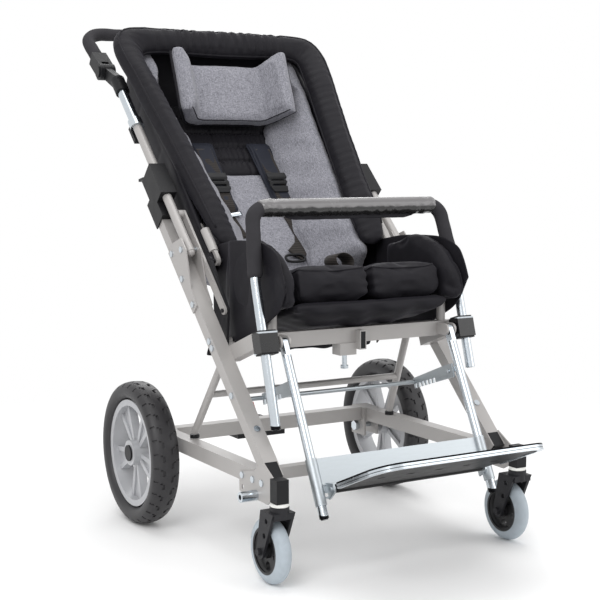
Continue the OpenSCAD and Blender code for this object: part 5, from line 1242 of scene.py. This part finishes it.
class BUGGY_OT_seat_base(bpy.types.Operator):
    """Padded seat base with its sagging underside, side panels and rear skirt"""
    bl_idname = "buggy.seat_base"
    bl_label = "Seat base"

    def execute(self, context):
        def spot(u, v):
            deep = 0.010 + 0.014 * max(0.0, 1 - u * u) * max(0.0, 1 - ((v + 0.15) / 0.95) ** 2)
            return Vector((0.176 * u, 0.150 + 0.150 * v, -0.0015 - deep)), UP

        def half(u, v):
            return 0.009 + 0.013 * max(0.0, 1 - u * u) * max(0.0, 1 - ((v + 0.15) / 0.95) ** 2)

        base = pillow("seat_base", SEAT, spot, half, 40, 36, power=9)
        stuff(base, cap=0.003, slack=0.03)
        local = inside(SEAT, points(base))
        under = np.clip((-0.012 - local[:, 2]) / 0.01, 0, 1)
        fold = np.sin(local[:, 0] * (2 * math.pi / 0.09) + 3 * ripple(local, 0.2, 81))
        press(base, under * (0.003 * fold + 0.002 * ripple(local, 0.06, 82)) + 0.0008 * ripple(local, 0.04, 83))
        dress(base, look("black_polyester"), "chassis", ("seat_cover",))
        front, long, rows = -0.314, 0.318, 60
        head = [(front, 0.540), (-0.300, 0.574), (-0.283, 0.598), (-0.240, 0.614), (-0.200, 0.619),
                (-0.093, 0.616), (-0.040, 0.608), (0.004, 0.601)]
        hem = [(front, 0.534), (-0.290, 0.493), (-0.230, 0.455), (-0.167, 0.427), (-0.100, 0.412),
               (-0.045, 0.399), (0.004, 0.366)]
        for side, name in SIDES:
            def panel_spot(i, g):
                y = front + long * i / rows
                inset = 0.0100 / (1 + math.exp(-(y + 0.078) / 0.006))
                z = curve(hem, y) + (curve(head, y) - curve(hem, y)) * g
                hang = (1 - g) ** 1.5
                bulge = 0.0018 * math.sin(y * 62 + g * 2.2) * math.sin(g * math.pi)
                bulge += 0.0032 * math.sin(y * 47 - g * 2) * hang
                return Vector((side * (0.2130 - inset + min(bulge, 0.0015)), y, z))

            panel, area = sheet(f"side_panel_{name}", rows, 30, panel_spot, 0.003)
            dress(panel, look("black_polyester"), "chassis")
        axes = tilted(-0.1398 + AXLE_BACK, 0.440, -65)

        wide, drop, rows = 0.41, 0.085, 44

        def skirt_spot(i, g):
            x = -wide / 2 + wide * i / rows
            fold = 0.004 * math.sin(x * 55) + 0.002 * math.sin(x * 120 + 1)
            return axes @ Vector((x, drop * g, fold * g))

        skirt, area = sheet("rear_skirt", rows, 10, skirt_spot, 0.003)
        dress(skirt, look("black_polyester"), "chassis")
        return {"FINISHED"}


class BUGGY_OT_grips(bpy.types.Operator):
    """Foam sleeves of the push bar and the grab bar"""
    bl_idname = "buggy.grips"
    bl_label = "Foam grips"

    def sleeve(self, name, corners, axes, radius, bend, body, node_name):
        path = [axes @ p for p in rounded([Vector(c) for c in corners], bend, 0.004)]
        reach = [0.0]
        for a, b in zip(path, path[1:]):
            reach.append(reach[-1] + (b - a).length)

        def section(i):
            near = min(reach[i], reach[-1] - reach[i])
            r = radius - 0.0022 * max(0.0, 1 - near / 0.003) ** 2
            r += 0.0003 * math.sin(reach[i] * 60) + 0.0002 * math.sin(reach[i] * 173)
            return [(r * math.cos(a), r * math.sin(a)) for a in np.linspace(0, 2 * math.pi, 33)[:-1]]

        out = axes.to_3x3() @ UP
        grip = sweep(name, path, section, lambda i: out)
        return dress(grip, look("closed_cell_foam"), body, (node_name,))

    def execute(self, context):
        out, low, high = 0.260, 0.0622, 0.178
        self.sleeve("push_grip", [(-out, low, 0), (-out, high, 0), (out, high, 0), (out, low, 0)],
                    PUSH, 0.015, 0.055, "push_handle", "push_foam")
        inner, corner, radius, bend = 0.1842, 0.221, 0.0145, 0.030
        self.sleeve("grab_grip_right", [(inner, GRAB_REACH, 0), (corner, GRAB_REACH, 0), (0.236, 0.118, 0),
                                        (0.236, 0.084, 0)], GRAB, radius, bend, "grab", "grab_foam")
        self.sleeve("grab_grip_left", [(-inner, GRAB_REACH, 0), (-corner, GRAB_REACH, 0), (-0.2352, 0.126, 0)],
                    GRAB, radius, bend, "grab", "grab_foam")
        return {"FINISHED"}


class BUGGY_OT_grab_pad(bpy.types.Operator):
    """Vinyl roll on the grab bar with its loose flap and stitched ends"""
    bl_idname = "buggy.grab_pad"
    bl_label = "Grab pad"

    def execute(self, context):
        corners = ((-0.2352, 0.126, 0), (-0.221, GRAB_REACH, 0), (0.221, GRAB_REACH, 0), (0.236, 0.118, 0))
        bar = rounded([Vector(c) for c in corners], 0.030, 0.004)
        path = [GRAB @ p for p in bar if abs(p.x) < 0.2085 and p.y > 0.24]
        last = len(path) - 1
        out = GRAB.to_3x3() @ UP

        def section(i):
            r = 0.0178 - 0.004 * max(0, 1 - min(i, last - i) / 2.5) ** 2
            return [(r * math.cos(a), r * math.sin(a)) for a in np.linspace(0, 2 * math.pi, 41)[:-1]]

        roll = sweep("grab_roll", path, section, lambda i: out)
        apply(roll, "SUBSURF", levels=1, render_levels=1)
        local = inside(GRAB, points(roll))
        below = np.clip((GRAB_REACH - local[:, 1]) / 0.010, 0, 1)
        depth = 0.0014 * below * ripple(local * np.array([1, 0.4, 0.4]), 0.035, 91)
        depth += 0.0006 * below * np.sin(local[:, 0] * (2 * math.pi / 0.026) + 4 * ripple(local, 0.1, 92))
        ends = np.clip((np.abs(local[:, 0]) - 0.150) / 0.03, 0, 1)
        depth += ends * 0.0012 * ripple(local, 0.018, 93)
        press(roll, depth)
        smooth(roll)
        dress(roll, look("coated_vinyl"), "grab", ("grab_pad",))
        wide, drop, rows = 0.30, 0.013, 70

        def flap_spot(i, g):
            x = -wide / 2 + wide * i / rows
            hang = drop * min(1.0, 0.4 + min(i, rows - i) / 8) ** 0.5
            wave = 0.0012 * math.sin(x * 90) * g + 0.0008 * math.sin(x * 210 + 2) * g
            return GRAB @ Vector((x, 0.2500 - hang * g, wave))

        flap, area = sheet("grab_flap", rows, 6, flap_spot, 0.0022, False)
        dress(flap, look("black_polyester"), "grab")
        return {"FINISHED"}


class BUGGY_OT_tyres(bpy.types.Operator):
    """Rear tyres with a cut tread, and the webs between the paired spokes of their rims"""
    bl_idname = "buggy.tyres"
    bl_label = "Rear tyres"

    def execute(self, context):
        z = sizes()
        around, section = 320, 36
        middle, tall, wide = 0.1335, 0.019, 0.030
        clear()
        bpy.ops.mesh.primitive_torus_add(major_radius=middle, minor_radius=tall, major_segments=around,
                                         minor_segments=section)
        tyre = context.object
        co = points(tyre)
        angle = np.arctan2(co[:, 1], co[:, 0])
        a = np.arctan2(co[:, 2], np.hypot(co[:, 0], co[:, 1]) - middle)
        width = wide * np.sign(np.sin(a)) * np.abs(np.sin(a)) ** 0.86
        reach = middle + tall * np.sign(np.cos(a)) * np.abs(np.cos(a)) ** 0.74
        put(tyre, np.stack([reach * np.cos(angle), reach * np.sin(angle), width], 1))
        pitch = around // z.tread_blocks
        # Off the tread's middle: where shoulder cuts start and end, where hooks end, where the middle line ends
        cut_from, cut_to, hook_to, line_to = 0.0075, 0.0285, 0.0125, 0.0026

        def cut(c):
            """Slanted cuts on both shoulders, each with a short hook, and one line along the middle."""
            slot = int(round(math.atan2(c.y, c.x) / (2 * math.pi) * around - 0.5)) % around
            reach, off = math.hypot(c.x, c.y), abs(c.z)
            hook = (slot + int(off / 0.0055) + (0 if c.z > 0 else pitch // 2)) % pitch
            slanted = cut_from < off < cut_to and reach > 0.137 and hook == 0
            hooked = cut_from < off < hook_to and reach > 0.14 and hook < 4
            return slanted or hooked or (reach > 0.15 and off < line_to)

        choose(tyre, cut)
        bpy.ops.mesh.extrude_region_shrink_fatten(TRANSFORM_OT_shrink_fatten={"value": -z.tread})
        bpy.ops.mesh.select_all(action="SELECT")
        bpy.ops.mesh.remove_doubles(threshold=1e-5)
        bpy.ops.mesh.normals_make_consistent(inside=False)
        bpy.ops.object.mode_set(mode="OBJECT")
        apply(tyre, "BEVEL", width=0.0005, segments=1, limit_method="ANGLE", angle_limit=math.radians(40))
        base = points(tyre)
        clear()
        bpy.ops.mesh.primitive_cube_add(size=2)
        web = context.object
        bpy.ops.object.mode_set(mode="EDIT")
        bpy.ops.mesh.select_all(action="SELECT")
        bpy.ops.mesh.subdivide(number_cuts=6)
        bpy.ops.object.mode_set(mode="OBJECT")
        block = points(web)
        spokes, web_middle, web_half, web_deep = 5, 0.070, 0.038, 0.0050
        reach = web_middle + web_half * block[:, 1]
        deep = web_deep * block[:, 0] * (1 - 0.35 * (1 - np.abs(block[:, 2])))
        for side, name in SIDES:
            x = side * WHEEL_OUT
            own = bpy.data.objects.new(f"rear_tread_{name}", tyre.data.copy())
            context.scene.collection.objects.link(own)
            put(own, np.stack([base[:, 2] + x, base[:, 0] + AXLE_BACK, base[:, 1] + AXLE_UP], 1))
            pick(own)
            bpy.ops.object.shade_smooth_by_angle(angle=math.radians(35))
            dress(own, look("tyre_rubber"), f"rear_wheel_{name}", (f"rear_tyre_{name}",))
        for side, name in SIDES:
            webs = []
            for k in range(spokes):
                own = bpy.data.objects.new("web", web.data.copy())
                context.scene.collection.objects.link(own)
                turn = math.radians(360 / spokes * k) + math.radians(12) * block[:, 2]
                put(own, np.stack([side * WHEEL_OUT + deep, AXLE_BACK + reach * np.sin(turn),
                                   AXLE_UP - reach * np.cos(turn)], 1))
                webs.append(own)
            own = join(f"rim_webs_{name}", webs)
            bpy.ops.object.mode_set(mode="EDIT")
            bpy.ops.mesh.select_all(action="SELECT")
            bpy.ops.mesh.normals_make_consistent(inside=False)
            bpy.ops.object.mode_set(mode="OBJECT")
            dress(own, look("rim_plastic"), f"rear_wheel_{name}")
        for start in (tyre, web):
            bpy.data.objects.remove(start)
        return {"FINISHED"}


OPERATORS = (BUGGY_OT_stage, BUGGY_OT_finishes, BUGGY_OT_tyres, BUGGY_OT_bolster, BUGGY_OT_shell,
             BUGGY_OT_back_pad, BUGGY_OT_side_pads, BUGGY_OT_headrest, BUGGY_OT_harness, BUGGY_OT_seat,
             BUGGY_OT_wings, BUGGY_OT_seat_base, BUGGY_OT_grips, BUGGY_OT_grab_pad)


class BUGGY_PT_panel(bpy.types.Panel):
    """Lists the pieces of the buggy"""
    bl_idname = "BUGGY_PT_panel"
    bl_label = "Special needs buggy"
    bl_space_type = "VIEW_3D"
    bl_region_type = "UI"
    bl_category = "Buggy"

    def draw(self, context):
        for group in (context.scene.buggy_sizes, context.scene.buggy_colours):
            for name in group.bl_rna.properties.keys():
                if name not in ("rna_type", "name"):
                    self.layout.prop(group, name)
        for operator in OPERATORS:
            self.layout.operator(operator.bl_idname)


CLASSES = (BuggyColours, BuggySizes, *OPERATORS, BUGGY_PT_panel)


def register():
    for cls in CLASSES:
        bpy.utils.register_class(cls)
    bpy.types.Scene.buggy_colours = PointerProperty(type=BuggyColours)
    bpy.types.Scene.buggy_sizes = PointerProperty(type=BuggySizes)


def unregister():
    del bpy.types.Scene.buggy_sizes
    del bpy.types.Scene.buggy_colours
    for cls in reversed(CLASSES):
        bpy.utils.unregister_class(cls)


def main():
    register()
    for operator in OPERATORS:
        group, name = operator.bl_idname.split(".")
        getattr(getattr(bpy.ops, group), name)()


if __name__ == "__main__":
    main()
